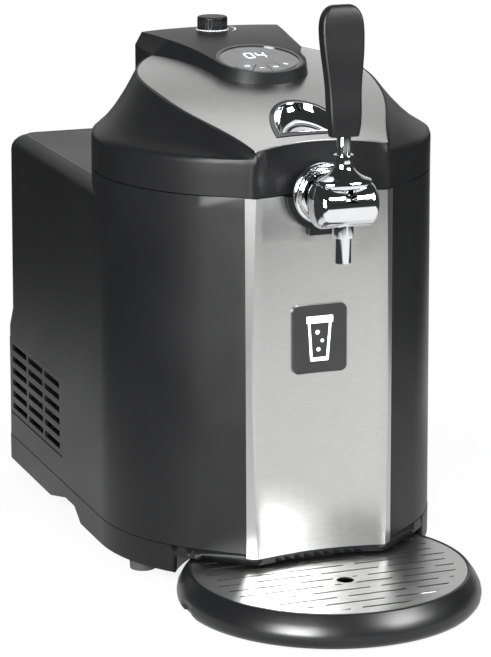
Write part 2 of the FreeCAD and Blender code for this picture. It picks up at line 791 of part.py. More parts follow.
def housing_shell():
    """The housing: one moulding with the round front, the rear box and the openings for what it carries."""
    foot, deck, top = SHELL_FOOT, size.deck_level, size.seam_level - size.seam
    wall = size.wall
    outer = whole_housing(foot, deck).fuse(round_housing(deck, top, 0))
    ceiling = deck - DECK_THICK - wall
    inner = whole_housing(foot - 1, ceiling, wall).fuse(round_housing(ceiling, top + 1, wall))
    solid = outer.cut(inner.cut(cover_bosses()))
    solid = solid.cut(deck_outline(0, deck - DECK_THICK, deck + 1))
    solid = solid.cut(deck_outline(DECK_LEDGE, ceiling - 1, deck))
    solid = solid.cut(front_band(foot - 1, top + 1, 3.0 + size.sheet + PANEL_GAP, -3.0, size.fit_gap))
    solid = solid.cut(collar_prism(size.fit_gap, -size.base_radius - 9, -size.base_radius / 2))
    for side in (-1, 1):
        x_low, x_high = sorted((side * (size.shell_radius - 10), side * (size.base_radius + 10)))
        half_length, half_height = size.vent_length / 2, size.vent_height / 2
        y, z = size.vent_middle, size.vent_level
        opening = block(x_low, x_high, y - half_length, y + half_length, z - half_height, z + half_height)
        solid = solid.cut(opening)
    solid = solid.cut(cover_block(0, wall + 0.2, -10))
    return solid.removeSplitter()


node("body_shell", shaped(housing_shell()))
node("rear_deck", shaped(deck_outline(size.fit_gap, size.deck_level - DECK_THICK, size.deck_level)))

INLET_X = -66.0
INLET_Z = 68.0
INLET_HALF_X = 14.0
INLET_HALF_Z = 11.0
INLET_LIP = 3.0


def inlet_block(grow, y_low, y_high):
    """The power inlet's rectangle as a block between two depths."""
    half_x, half_z = INLET_HALF_X + grow, INLET_HALF_Z + grow
    return block(INLET_X - half_x, INLET_X + half_x, y_low, y_high, INLET_Z - half_z, INLET_Z + half_z)


def rear_cover():
    """The screwed rear cover with exhaust slots and the opening for the power inlet."""
    solid = cover_block(size.fit_gap, size.wall, 0)
    rear = size.rear_lower
    slot_half, rows, pitch = 27.0, 7, 9.5
    for x, z in COVER_SCREW_PLACES:
        seat_hole = Part.makeCylinder(2 * COVER_SCREW_RADIUS, COVER_SINK, Vector(x, rear, z), Vector(0, -1, 0))
        hole = Part.makeCylinder(COVER_SCREW_RADIUS + 0.1, 9, Vector(x, rear, z), Vector(0, -1, 0))
        solid = solid.cut([seat_hole, hole])
    for column in (-12.0, 52.0):
        for row in range(rows):
            z = 0.5 * (COVER_LOW + COVER_HIGH) + (row - (rows - 1) / 2) * pitch
            slot = block(column - slot_half, column + slot_half, rear - 9, rear + 1, z - 2.2, z + 2.2)
            solid = solid.cut(slot)
    return solid.cut(inlet_block(0.2, rear - 9, rear + 1))


node("rear_cover", shaped(rear_cover()))


def vent_grille(label, side):
    """A side vent: a flat grille with three columns of six slots, let into the flank."""
    body = new_body(label)
    half_length, half_height = "vent_length / 2 - fit_gap", "vent_height / 2 - fit_gap"
    outline = Drawing(body, "YZ", label + "_outline")
    outline.rectangle(f"-({half_length})", half_length, f"-({half_height})", half_height)
    pad(body, outline.finish(), "vent_thick")
    slot = Drawing(body, "YZ", label + "_slot")
    corner_y, corner_z = "-1.5 * slot_length - slot_bridge", "-2.5 * slot_pitch - slot_height / 2"
    slot.rectangle(corner_y, f"{corner_y} + slot_length", corner_z, f"{corner_z} + slot_height")
    first = pocket(body, slot.finish())
    pattern = body.newObject("PartDesign::LinearPattern", "slots")
    pattern.Originals = [first]
    pattern.Direction = (slot.sketch, ["H_Axis"])
    pattern.Occurrences = 3
    tie(pattern, {"Length": "2 * (slot_length + slot_bridge)"})
    pattern.Direction2 = (slot.sketch, ["V_Axis"])
    pattern.Occurrences2 = 6
    tie(pattern, {"Length2": "5 * slot_pitch"})
    body.Tip = pattern
    middle_radius = "(shell_foot_radius + (shell_radius - shell_foot_radius) * 0.19)"
    x = f"{middle_radius} - vent_thick - 0.4" if side > 0 else f"-{middle_radius} + 0.4"
    return seat(body, (x, "vent_middle", "vent_level"))


vent_grille("vent_grille_left", -1)
vent_grille("vent_grille_right", 1)

# ----------------------------------------------------------------------------------------
# Front panel and badge
# ----------------------------------------------------------------------------------------


def front_panel():
    """The steel front: a sheet that follows the hollow face and turns round its edges."""
    panel = front_band(PANEL_FOOT, PANEL_TOP, size.sheet)
    return panel.cut(collar_prism(size.fit_gap, -size.base_radius - 9, -size.base_radius / 2))


def badge():
    """A small black plate with rounded corners that follows the hollow face."""
    half, height = size.badge_side / 2, size.badge_height / 2
    level = size.badge_level
    layer = front_band(level - height, level + height, size.badge_thick, -size.badge_thick)
    prism = block(-half, half, -200, 0, level - height, level + height)
    upright = [edge for edge in prism.Edges if abs(edge.BoundBox.YLength - 200) < 0.1]
    return layer.common(prism.makeFillet(5.0, upright))


node("front_panel", shaped(front_panel()))
node("badge_plate", shaped(badge()))

# ----------------------------------------------------------------------------------------
# Keg well: liner, foam, collar
# ----------------------------------------------------------------------------------------

WELL_FLOOR = "(well_rim - well_depth)"
turned_body("keg_well_liner", [
    ("0", f"{WELL_FLOOR} - liner"),
    ("well_radius + liner", f"{WELL_FLOOR} - liner"),
    ("well_radius + liner", "well_rim - 1.2"),
    ("well_radius + liner + 4", "well_rim - 1.2"),
    ("well_radius + liner + 4", "well_rim"),
    ("well_radius", "well_rim"),
    ("well_radius", WELL_FLOOR),
    ("0", WELL_FLOOR),
])

FOAM_RADIUS = "(well_radius + liner + foam_wall)"
foam_round = cylinder(FOAM_RADIUS, f"well_rim - 1.2 - {BASE_TOP} + seam", ("0", "0", f"{BASE_TOP} - seam"))
foam_hole = cylinder("well_radius + liner", "well_depth + 20", ("0", "0", f"{WELL_FLOOR} - liner"))


def cold_slab(grow):
    """The cold block's room, from the liner back through the foam."""
    return middle_box(
        f"cold_width + 2 * {grow}", "0", f"cold_back + {grow}",
        f"cold_level - cold_height / 2 - {grow}", f"cold_level + cold_height / 2 + {grow}",
    )


shank_room = cylinder("shank_radius + 6.5", "60", ("0", "-collar_back - 20", "tap_level"), "Y")
node("well_insulation", cut(foam_round, foam_hole, cold_slab("0"), shank_room))

cold_room = cylinder("well_radius + liner", "2 * well_depth", ("0", "0", "0"))
node("cold_block", cut(cold_slab("0"), cold_room))


CHAMBER_FLOOR = size.well_rim + 2.2
CHAMBER_TOP = size.well_rim + size.collar_height


CATCH_DEPTH = 4.0


def catch_half():
    """Half the width of a latch catch."""
    return size.hook_width / 2 + 2.0


def well_collar():
    """The plastic collar between the well's rim and the housing's wall, notched for the tap's shank."""
    low, high = size.well_rim, CHAMBER_TOP
    disc = round_housing(low, high, size.wall + size.fit_gap)
    hole = Part.makeCylinder(size.well_radius, high)
    notch = Part.makeCylinder(
        size.shank_radius + 6.5, 60, Vector(0, -size.collar_back - 20, size.tap_level), Vector(0, 1, 0)
    )
    chamber = Part.makeCylinder(size.seal_radius - 3, high, Vector(0, 0, CHAMBER_FLOOR))
    ring = disc.cut(hole).cut(notch).cut(collar_prism(size.fit_gap, -150.0, -size.collar_back + size.fit_gap))
    half = catch_half()
    for side in (-1, 1):
        x = side * size.hook_side
        ring = ring.cut(block(
            x - half, x + half, -size.hook_front - CATCH_DEPTH, -size.seal_radius + 14, CHAMBER_FLOOR, CHAMBER_TOP + 1
        ))
    web = Part.makeCylinder(size.well_radius + 6, size.collar_height, Vector(0, 0, low))
    return ring.cut(chamber.cut(web)).cut(hole).removeSplitter()


node("well_collar", shaped(well_collar()))

# ----------------------------------------------------------------------------------------
# Cooling train: Peltier module, heat sink, fan; power supply and inlet
# ----------------------------------------------------------------------------------------

node("peltier_module", middle_box(
    "peltier_side", "cold_back", "cold_back + peltier_thick",
    "cold_level - peltier_side / 2", "cold_level + peltier_side / 2",
))


def heat_sink():
    """An aluminium heat sink: a plate whose upright fins stand on its rear."""
    body = new_body("heat_sink")
    plate = Drawing(body, "XY", "heat_sink_plate")
    pad(body, plate.rectangle("-sink_side / 2", "sink_side / 2", "0", "sink_plate").finish(), "sink_side")
    gaps = int((size.sink_side - size.fin_thick) // size.fin_pitch)
    fins = Drawing(body, "XY", "heat_sink_fins")
    for index in range(gaps + 1):
        x = f"{index - gaps / 2} * fin_pitch"
        fins.rectangle(f"{x} - fin_thick / 2", f"{x} + fin_thick / 2", "sink_plate - 0.5", "sink_depth")
    pad(body, fins.finish(), "sink_side")
    return seat(body, ("0", "cold_back + peltier_thick", "cold_level - sink_side / 2"))


heat_sink()

FAN_FRONT = "(cold_back + peltier_thick + sink_depth)"
frame_block = middle_box(
    "fan_side", FAN_FRONT, f"{FAN_FRONT} + fan_depth", "cold_level - fan_side / 2", "cold_level + fan_side / 2"
)
duct = cylinder("fan_bore", "fan_depth + 2", ("0", f"{FAN_FRONT} - 1", "cold_level"), "Y")
hollow_frame = cut(frame_block, duct)
stator = cylinder("hub_radius - 1", "4", ("0", f"{FAN_FRONT} + fan_depth - 4", "cold_level"), "Y")
axle = cylinder("2", "fan_depth - 3", ("0", f"{FAN_FRONT} + 3", "cold_level"), "Y")
spokes = [
    middle_box("4", f"{FAN_FRONT} + fan_depth - 3", f"{FAN_FRONT} + fan_depth",
               "cold_level - fan_bore - 1", "cold_level + fan_bore + 1"),
    middle_box("2 * fan_bore + 2", f"{FAN_FRONT} + fan_depth - 3", f"{FAN_FRONT} + fan_depth",
               "cold_level - 2", "cold_level + 2"),
]
node("fan_frame", fuse(hollow_frame, stator, axle, *spokes))


def fan_rotor():
    """The fan's hub with seven pitched blades, turning on the frame's axle."""
    front = size.cold_back + size.peltier_thick + size.sink_depth + 2
    depth = size.fan_depth - 8
    axis = Vector(0, 1, 0)
    centre = Vector(0, front, size.cold_level)
    hub = Part.makeCylinder(size.hub_radius, depth, centre, axis)
    blades = 7
    tip = size.fan_bore - size.blade_gap
    duct_room = Part.makeCylinder(tip, depth, centre, axis)
    for index in range(blades):
        blade = Part.makeBox(tip, depth * 1.2, 1.8, Vector(size.hub_radius - 3, -depth * 0.6, -0.9))
        blade.rotate(Vector(), Vector(1, 0, 0), 38)
        blade.translate(Vector(0, front + depth / 2, size.cold_level))
        blade.rotate(centre, axis, 360.0 * index / blades)
        hub = hub.fuse(blade.common(duct_room))
    bore = Part.makeCylinder(2 + size.running, depth + 2, centre - axis, axis)
    return hub.cut(bore).removeSplitter()


node("fan_rotor", shaped(fan_rotor()))

board = middle_box("120", "186", "246", f"{BASE_TOP} - seam + 5", f"{BASE_TOP} - seam + 6.6", "20")
transformer = middle_box("38", "195", "230", f"{BASE_TOP} - seam + 6.6", f"{BASE_TOP} - seam + 34", "0")
capacitor = cylinder("9", "26", ("48", "205", f"{BASE_TOP} - seam + 6.6"))
posts = [
    cylinder("3", "5", (f"{20 + sx * 54}", y, f"{BASE_TOP} - seam"))
    for sx in (-1, 1)
    for y in ("191", "241")
]
node("power_supply", group(fuse(board, transformer, capacitor, *posts)))


def power_inlet():
    """The appliance socket in the rear cover: a shrouded well with three flat contacts."""
    rear = size.rear_lower
    half_width, half_height = 1.0, 1.7
    body = inlet_block(0.0, rear - 24, rear)
    flange = inlet_block(INLET_LIP, rear - size.wall - 1.4, rear - size.wall)
    solid = body.fuse(flange).cut(inlet_block(-2.0, rear - 16, rear + 3))
    for x, z in ((-7.0, -2.0), (0.0, 2.0), (7.0, -2.0)):
        x_at, z_at = INLET_X + x, INLET_Z + z
        solid = solid.fuse(block(
            x_at - half_width, x_at + half_width, rear - 17, rear - 3, z_at - half_height, z_at + half_height
        ))
    return solid.removeSplitter()


node("power_inlet", shaped(power_inlet()))

# ----------------------------------------------------------------------------------------
# Tap: collar, flange, shank, nut, barrel, spout, valve plunger and lever
# ----------------------------------------------------------------------------------------


def tap_collar():
    """The black collar that carries the tap in the housing's front, open towards the lid."""
    top = size.seam_level - size.seam
    solid = collar_prism(0, -size.flange_back, -size.collar_back)
    solid = solid.common(block(-60, 60, -200, 0, 0, top))
    axis = Vector(0, 1, 0)
    bore = Part.makeCylinder(
        size.shank_radius + size.running, 60, Vector(0, -size.flange_back - 5, size.tap_level), axis
    )
    return solid.cut(bore).removeSplitter()


node("tap_collar", shaped(tap_collar()))

FACE_FORWARD = Rotation(Vector(1, 0, 0), 90)
TAP_SEAT = ("0", "-flange_back", "tap_level")
flange_ring = turned_body("tap_flange", [
    ("shank_radius + running", "0"),
    ("flange_radius - 0.6", "0"),
    ("flange_radius", "0.8"),
    ("flange_radius", "1.6"),
    ("flange_radius - 1.4", "flange_front - flange_back"),
    ("flange_radius - 4.2", "flange_front - flange_back"),
    ("flange_radius - 5", "flange_front - flange_back - 1"),
    ("flange_radius - 6.4", "flange_front - flange_back - 1"),
    ("flange_radius - 7.2", "flange_front - flange_back + 1.4"),
    ("shank_radius + running", "flange_front - flange_back + 1.4"),
], TAP_SEAT, FACE_FORWARD)

turned_body("tap_shank", [
    ("4", "shank_end - flange_back"),
    ("shank_radius", "shank_end - flange_back"),
    ("shank_radius", "flange_front - flange_back + 5"),
    ("4", "flange_front - flange_back + 5"),
], TAP_SEAT, FACE_FORWARD)

NUT_DEPTH = "8"
nut = document.addObject("Part::Prism", "hexagon")
nut.Polygon = 6
tie(nut, {"Circumradius": "shank_radius + 5", "Height": NUT_DEPTH})
seat(nut, ("0", "-collar_back", "tap_level"), AXIS_TURN["Y"])
nut_bore = cylinder("shank_radius", "20", ("0", "-collar_back - 2", "tap_level"), "Y")
node("shank_nut", cut(nut, nut_bore))

BARREL_AT = ("0", "-tap_reach", "tap_level")


SHOULDER_LENGTH = 4.5
SHOULDER_RISE = 2.6
NECK_CLEARANCE = 5.0


def barrel():
    """The barrel along X: a round bar with shallow domes on its ends and a soft rim round each."""
    radius, dome, half = size.barrel_radius, size.barrel_dome, size.barrel_half
    dome_radius = (radius ** 2 + dome ** 2) / (2 * dome)
    bar = Part.makeCylinder(radius, 2 * half, Vector(-half, 0, 0), Vector(1, 0, 0))
    for side in (-1, 1):
        bar = bar.common(Part.makeSphere(dome_radius, Vector(side * (half - dome_radius), 0, 0)))
    circles = [edge for edge in bar.Edges if isinstance(edge.Curve, Part.Circle)]
    rims = [edge for edge in circles if abs(edge.Curve.Radius - radius) < 0.01]
    bar = bar.makeFillet(size.barrel_round, rims)
    bar.translate(Vector(0, -size.tap_reach, size.tap_level))
    return bar


def tap_body():
    """The tap's barrel with its stepped neck, bored for the shank, the lever's ball and the plunger."""
    centre = Vector(0, -size.tap_reach, size.tap_level)
    along = Vector(0, 1, 0)
    neck_back = -size.flange_front - NECK_CLEARANCE
    length = neck_back + size.tap_reach
    neck = Part.makeCylinder(size.neck_radius, length, centre, along)
    shoulder_front = Vector(0, neck_back - SHOULDER_LENGTH, size.tap_level)
    shoulder = Part.makeCylinder(size.neck_radius + SHOULDER_RISE, SHOULDER_LENGTH, shoulder_front, along)
    solid = barrel().fuse([neck, shoulder])
    socket = Part.makeSphere(size.ball_radius + size.running, centre)
    drop = centre - Vector(0, 0, size.plunger_drop)
    plunger_bore = Part.makeCylinder(size.plunger_radius + size.running, length + 2, drop, along)
    finger_room = block(
        -3.2, 3.2, centre.y - 9.5, centre.y + 9.5,
        size.tap_level - size.plunger_drop - 4.5, size.tap_level - 2,
    )
    spout_way = Part.makeCylinder(size.spout_bore, 30, centre - Vector(0, 0, 32))
    solid = solid.cut([socket, plunger_bore, finger_room, spout_way])
    slot = block(
        -size.stem_radius + 0.4, size.stem_radius - 0.4, centre.y - 2 * size.barrel_radius, centre.y + 5.6,
        size.tap_level, size.tap_level + size.barrel_radius + 2,
    )
    window = Part.makeCylinder(size.barrel_radius + 3, 30, centre - Vector(15, 0, 0), Vector(1, 0, 0))
    lever_room = slot.common(window).cut(
        block(-15, 15, centre.y - 40, centre.y, size.tap_level - 30, size.tap_level + 3.5)
    )
    return solid.cut(lever_room).removeSplitter()


node("tap_body", shaped(tap_body()))

spout_points = [
    ("spout_bore", "spout_tip"),
    ("spout_radius - 0.5", "spout_tip"),
    ("spout_radius", "spout_tip + 0.6"),
    ("spout_radius", "tap_level - barrel_radius - 7.5"),
    ("spout_ring", "tap_level - barrel_radius - 7.5"),
    ("spout_ring", "tap_level - barrel_radius + 4"),
    ("spout_bore", "tap_level - barrel_radius + 4"),
]
spout = document.addObject("PartDesign::Body", "spout_blank")
spin(spout, Drawing(spout, "XZ", "spout_profile").outline(spout_points).finish())
seat(spout, ("0", "-tap_reach", "0"))
barrel_room = cylinder("barrel_radius", "60", ("-30", "-tap_reach", "tap_level"), "X")
node("tap_spout", cut(spout, barrel_room))

node("valve_plunger", cylinder(
    "plunger_radius", "tap_reach - flange_front - 20.3",
    ("0", "-tap_reach + 8", "tap_level - plunger_drop"), "Y",
))


SKIRT_RINGS = [(13.0, 20.4, 15.0), (18.4, 20.2, 14.4), (19.6, 17.6, 13.0), (22.0, 12.6, 10.8), (25.0, 9.0, 8.8)]
NECK_START = 27.5


def saddle_skirt():
    """The saddle's flared skirt: a smooth run through ellipses that widen towards the barrel."""
    wires = [
        Part.Wire(Part.Ellipse(Vector(0, 0, level), half_long, half_short).toShape())
        for level, half_long, half_short in SKIRT_RINGS
    ]
    wires.append(Part.Wire(Part.Circle(Vector(0, 0, NECK_START), Vector(0, 0, 1), size.bell_radius).toShape()))
    return Part.makeLoft(wires, True, False)


def lever_saddle():
    """The lever's chrome saddle: a skirt over the barrel, a ringed neck, a ball with a finger inside."""
    top, waist = size.bell_radius, size.bell_radius - 0.4
    level = size.bell_level - size.tap_level
    profile = [
        Vector(0, 0, NECK_START),
        Vector(top, 0, NECK_START),
        Vector(top, 0, level - 7.0),
        Vector(waist, 0, level - 6.4),
        Vector(top, 0, level - 5.8),
        Vector(top, 0, level - 0.8),
        Vector(top - 0.8, 0, level),
        Vector(0, 0, level),
        Vector(0, 0, NECK_START),
    ]
    neck = Part.Face(Part.makePolygon(profile)).revolve(Vector(), Vector(0, 0, 1), 360)
    room = Part.makeCylinder(size.barrel_radius + size.fit_gap, 80, Vector(-40, 0, 0), Vector(1, 0, 0))
    neck_room = Part.makeCylinder(size.neck_radius + 0.5, 60, Vector(), Vector(0, 1, 0))
    stub = Part.makeCylinder(size.stem_radius - 1.2, size.barrel_radius + 5, Vector(0, 0, 0))
    knob = Part.makeSphere(size.ball_radius)
    finger = Part.makeCylinder(2.0, size.plunger_drop + 3.0, Vector(0, 0, -size.plunger_drop - 3.0))
    solid = saddle_skirt().fuse(neck).cut([room, neck_room]).fuse([stub, knob, finger]).removeSplitter()
    solid.translate(Vector(0, -size.tap_reach, size.tap_level))
    return solid


node("lever_saddle", shaped(lever_saddle()))

stem_low = cylinder("stem_radius", "handle_foot - bell_level", ("0", "-tap_reach", "bell_level"))
stem_high = cylinder("stem_radius - 1.6", "22", ("0", "-tap_reach", "handle_foot"))
node("lever_stem", fuse(stem_low, stem_high))


def handle():
    """The black paddle handle: narrow at its foot, widest near its head, leaning back a little."""
    foot, head = size.handle_foot, size.handle_head
    rise = head - foot
    wide, narrow, thick = size.handle_width, size.handle_foot_width, size.handle_thick
    stations = [
        (0.00, narrow, thick, 0.0),
        (0.02, narrow + 0.9, thick + 0.6, 0.0),
        (0.35, blend(narrow, wide, 0.42), thick + 0.8, 0.30),
        (0.62, blend(narrow, wide, 0.85), thick + 1.0, 0.65),
        (0.80, wide, thick + 1.2, 1.00),
        (0.91, wide * 0.93, thick, 1.12),
        (0.975, wide * 0.72, thick * 0.74, 1.18),
        (1.00, wide * 0.40, thick * 0.34, 1.20),
    ]
    wires = []
    for share, width, depth, lean in stations:
        half_x, half_y = width / 2, depth / 2
        soft = min(2.6, half_y * 0.7)
        y = -size.tap_reach + lean * size.handle_lean
        z = foot + share * rise
        prism = Part.makeBox(width, depth, 1, Vector(-half_x, y - half_y, z))
        upright = [edge for edge in prism.Edges if edge.BoundBox.ZLength > 0.9]
        rounded = prism.makeFillet(soft, upright)
        face = min(rounded.Faces, key=lambda item: item.CenterOfMass.z)
        wires.append(face.OuterWire)
    paddle = Part.makeLoft(wires, True, False)
    socket = Part.makeCylinder(size.stem_radius - 1.6, 22, Vector(0, -size.tap_reach, foot))
    return paddle.cut(socket)


node("tap_handle", shaped(handle()))

# ----------------------------------------------------------------------------------------
# Lid: flared shell, steel top, lining, foam, seal
# ----------------------------------------------------------------------------------------


def top_level(x, y, lift=0.0):
    """Height of the steel top's surface: an arc towards the rear with a crown across the middle."""
    run = y + size.kink_front_top
    arc = size.plate_front_level + size.plate_slope * run - size.plate_curve * run * run
    reach = abs(10.0 - y) / (size.kink_front_top + 10.0)
    half = 90.5 - 38.5 * reach**1.6
    crown = size.plate_crown * (1.0 - math.exp(-max(run, 0.0) / 45.0)) + 1.0
    return arc + crown * (1.0 - (x / half) ** 2) + lift


def top_sheet(lift):
    """The steel top's surface as a face, wider than the lid."""
    columns = [-150 + 50 * index for index in range(7)]
    rows = [-160 + 40 * index for index in range(9)]
    points = [[Vector(x, y, top_level(x, y, lift)) for y in rows] for x in columns]
    surface = Part.BSplineSurface()
    surface.interpolate(points)
    return surface.toShape()


def above_top(lift):
    """Everything above the steel top's surface, moved up by the lift."""
    return top_sheet(lift).extrude(Vector(0, 0, 300))


PLATE_EDGE = [(61.5, -99.0), (73.5, -70.5), (82.0, -46.0), (88.0, -16.0), (90.3, 10.0), (87.2, 37.0),
              (79.5, 55.0), (67.0, 70.0), (36.0, 82.0)]


def plate_outline(shrink, z_low, z_high):
    """The steel top's outline as a prism: hollow front edge and a spade-shaped rear."""
    front = FrontFace(size.shell_radius, size.kink_front_top, shrink)
    corner = front.corner + front.flank * 0.2
    right = []
    for x, y in PLATE_EDGE:
        share = 1.0 - shrink / math.hypot(x, y)
        right.append(Vector(x * share, y * share, 0))
    rear = Vector(0, 84.5 - shrink, 0)
    path = [corner] + right + [rear] + [mirrored(p) for p in reversed(right)] + [mirrored(corner)]
    side = Part.BSplineCurve()
    side.interpolate(path)
    face_edge = Part.Arc(mirrored(corner), front.middle, corner)
    wire = closed_wire([side, face_edge], z_low)
    return Part.Face(wire).extrude(Vector(0, 0, z_high - z_low))


def edge_radius(azimuth):
    """Distance from the axis to the steel top's edge in one direction, by stepping along its outline."""
    points = [(size.kink_half, -size.kink_front_top)] + PLATE_EDGE + [(0.0, 84.5)]
    angles = [math.atan2(y, x) for x, y in points]
    lengths = [math.hypot(x, y) for x, y in points]
    folded = azimuth if azimuth <= math.pi / 2 else math.pi - azimuth
    folded = max(min(folded, angles[-1]), angles[0])
    for index in range(len(angles) - 1):
        if folded <= angles[index + 1]:
            share = (folded - angles[index]) / (angles[index + 1] - angles[index])
            return blend(lengths[index], lengths[index + 1], share)
    return lengths[-1]


def ring_radius(front, azimuth):
    """Distance from the axis to the lid ring's outline, with its flat flanks beside the face."""
    folded = azimuth if azimuth <= math.pi / 2 else math.pi - azimuth
    if folded >= front.azimuth:
        return front.radius
    return front.radius / math.cos(front.azimuth - folded)


LID_FOOT = size.seam_level + size.seam
LID_TOP_MAX = 395.0


def lid_column(azimuth, outer, inset, low):
    """Points up one line of the lid's flank: upright ring, rounded shoulder, hollow flare, run-out."""
    edge = min(edge_radius(azimuth) + size.plate_rim - inset, outer)
    x, y = math.cos(azimuth), math.sin(azimuth)
    edge_level = top_level(edge * x, edge * y) - inset
    ring_level = min(size.ring_level - inset, edge_level - 1.0)
    width, rise = outer - edge, edge_level - ring_level
    column = [(outer, low), (outer, blend(low, ring_level, 0.5)), (outer, ring_level - 4.0)]
    column.append((outer - 0.03 * width, ring_level - 0.8))
    for share in (0.12, 0.3, 0.5, 0.75, 1.0):
        column.append((outer - share * width, ring_level + rise * share**size.flare_power))
    slope = size.flare_power * rise / max(width, 0.5)
    column.append((edge - (LID_TOP_MAX - edge_level) / slope if width > 0.5 else edge, LID_TOP_MAX))
    return [Vector(radius * x, radius * y, z) for radius, z in column]


def lid_solid(inset, low):
    """The lid's outer form, or its hollow when inset, up to a level above the steel top."""
    front = FrontFace(size.shell_radius, size.kink_front_top, inset)
    start = math.atan2(front.corner.y, front.corner.x)
    steps = 30
    turns = [start + (math.pi - 2 * start) * index / steps for index in range(steps + 1)]
    columns = [lid_column(turn, ring_radius(front, turn), inset, low) for turn in turns]
    wires = []
    for row in zip(*columns):
        flank = Part.BSplineCurve()
        flank.interpolate(list(row))
        middle = Vector(0, front.middle.y, row[0].z)
        face = Part.Arc(row[-1], middle, row[0])
        wires.append(Part.Wire([flank.toShape(), face.toShape()]))
    return ruled(wires)


def along_y(radius, x, z, y_low, y_high):
    """A round bar along Y, as a plain shape."""
    return Part.makeCylinder(radius, y_high - y_low, Vector(x, y_low, z), Vector(0, 1, 0))


def upright(radius, x, y, z_low, z_high):
    """A round bar along Z, as a plain shape."""
    return Part.makeCylinder(radius, z_high - z_low, Vector(x, y, z_low))


def d_prism(half, front, length, z_low, z_high):
    """A prism with a D outline: straight towards the tap, half an ellipse towards the rear."""
    ellipse = Part.Ellipse(Vector(0, front + length, 0), Vector(half, front, 0), Vector(0, front, 0))
    arc = Part.Arc(ellipse, -math.pi / 2, math.pi / 2)
    line = Part.LineSegment(arc.toShape().Vertexes[1].Point, arc.toShape().Vertexes[0].Point)
    wire = closed_wire([arc, line], z_low)
    return Part.Face(wire).extrude(Vector(0, 0, z_high - z_low))


def latch_prism(grow, z_low, z_high):
    """The latch cup's outline as a prism, grown all round."""
    front = -size.latch_front - grow
    return d_prism(size.latch_half + grow, front, size.latch_length + 2 * grow, z_low, z_high)


WIRE_HOLE_Y = 30.0
SPINDLE_RADIUS = 3.2
PIVOT_RADIUS = 1.5
LID_SCREW_RADIUS = 1.5
LID_SCREW_RING = 107.5
LID_SCREW_PLACES = [
    (LID_SCREW_RING * math.cos(math.radians(turn)), LID_SCREW_RING * math.sin(math.radians(turn)))
    for turn in (-40, 30, 150, 220)
]
LID_FLANGE = size.seam_level + 0.6


def lid_shell():
    """The black lid: hollow flanks, seat for the steel top and openings for latch, cables and regulator."""
    outer = lid_solid(0, LID_FOOT).cut(above_top(0))
    hollow = lid_solid(size.wall, LID_FOOT - 5).cut(above_top(-size.wall - size.sheet))
    hollow = hollow.cut([upright(3.5, x, y, LID_FLANGE + 2.0, LID_TOP_MAX) for x, y in LID_SCREW_PLACES])
    seat_room = plate_outline(-0.15, 300, LID_TOP_MAX).common(above_top(-size.sheet))
    solid = outer.cut(hollow).cut(seat_room)
    screw_top = LID_FLANGE + 12.0
    solid = solid.cut([upright(LID_SCREW_RADIUS, x, y, LID_FLANGE, screw_top) for x, y in LID_SCREW_PLACES])
    notch_radius = size.shank_radius + 0.6
    solid = solid.cut(along_y(notch_radius, 0, size.tap_level, -150, -90))
    solid = solid.cut(latch_prism(size.latch_rim + 0.2, 300, LID_TOP_MAX))
    solid = solid.cut(upright(18.0, 0, WIRE_HOLE_Y, 340, LID_TOP_MAX))
    solid = solid.cut(upright(size.regulator_radius + 0.2, 0, size.knob_reach, 330, LID_TOP_MAX))
    return solid.removeSplitter()


def lid_top_plate():
    """The brushed steel top, pierced for the latch and, under the pod, for its cables."""
    band = above_top(-size.sheet).cut(above_top(0))
    plate = plate_outline(0.05, 300, LID_TOP_MAX).common(band)
    plate = plate.cut(latch_prism(size.latch_rim + 0.2, 300, LID_TOP_MAX))
    return plate.cut(upright(18.0, 0, WIRE_HOLE_Y, 340, LID_TOP_MAX))


node("lid_shell", shaped(lid_shell()))
node("lid_top_plate", shaped(lid_top_plate()))


def lid_lining():
    """The lid's lining: a flange on the ring and a dish that leaves room for the keg's head."""
    low = size.seam_level + 0.6
    inset = size.wall + size.fit_gap
    radius, reach = size.shell_radius, size.kink_front_top
    flange = ruled([round_wire(radius, reach, z, inset) for z in (low, low + 2.0)])
    dish = upright(size.dish_radius + 2.0, 0, 0, low, low + size.dish_rise)
    room = upright(size.dish_radius, 0, 0, low - 1, low + size.dish_rise - 2.0)
    solid = flange.fuse(dish).cut(room)
    solid = solid.cut(along_y(size.shank_radius + 6.5, 0, size.tap_level, -150, -90))
    pivot_y, pivot_z = -size.latch_pivot, size.latch_pivot_level
    boss_side = size.hook_side + size.hook_width / 2 + 1.0
    for side in (-1, 1):
        x_low, x_high = sorted((side * boss_side, side * (boss_side + 5.0)))
        solid = solid.fuse(block(
            x_low, x_high, pivot_y - 3, pivot_y + 3, low + size.dish_rise - 2.0, pivot_z + 3.0
        ))
        hook_low, hook_high = size.hook_side - 4.0, size.hook_side + 4.0
        x_low, x_high = sorted((side * hook_low, side * hook_high))
        solid = solid.cut(block(
            x_low, x_high, -size.hook_front - 3.5, -size.dish_radius - 0.5, low - 1, low + 3
        ))
    bore = Part.makeCylinder(
        PIVOT_RADIUS, 2 * size.dish_radius, Vector(-size.dish_radius, pivot_y, pivot_z), Vector(1, 0, 0)
    )
    for x, y in LID_SCREW_PLACES:
        solid = solid.cut(upright(LID_SCREW_RADIUS + 0.1, x, y, low - 1, low + 3))
    return solid.cut(bore).removeSplitter()


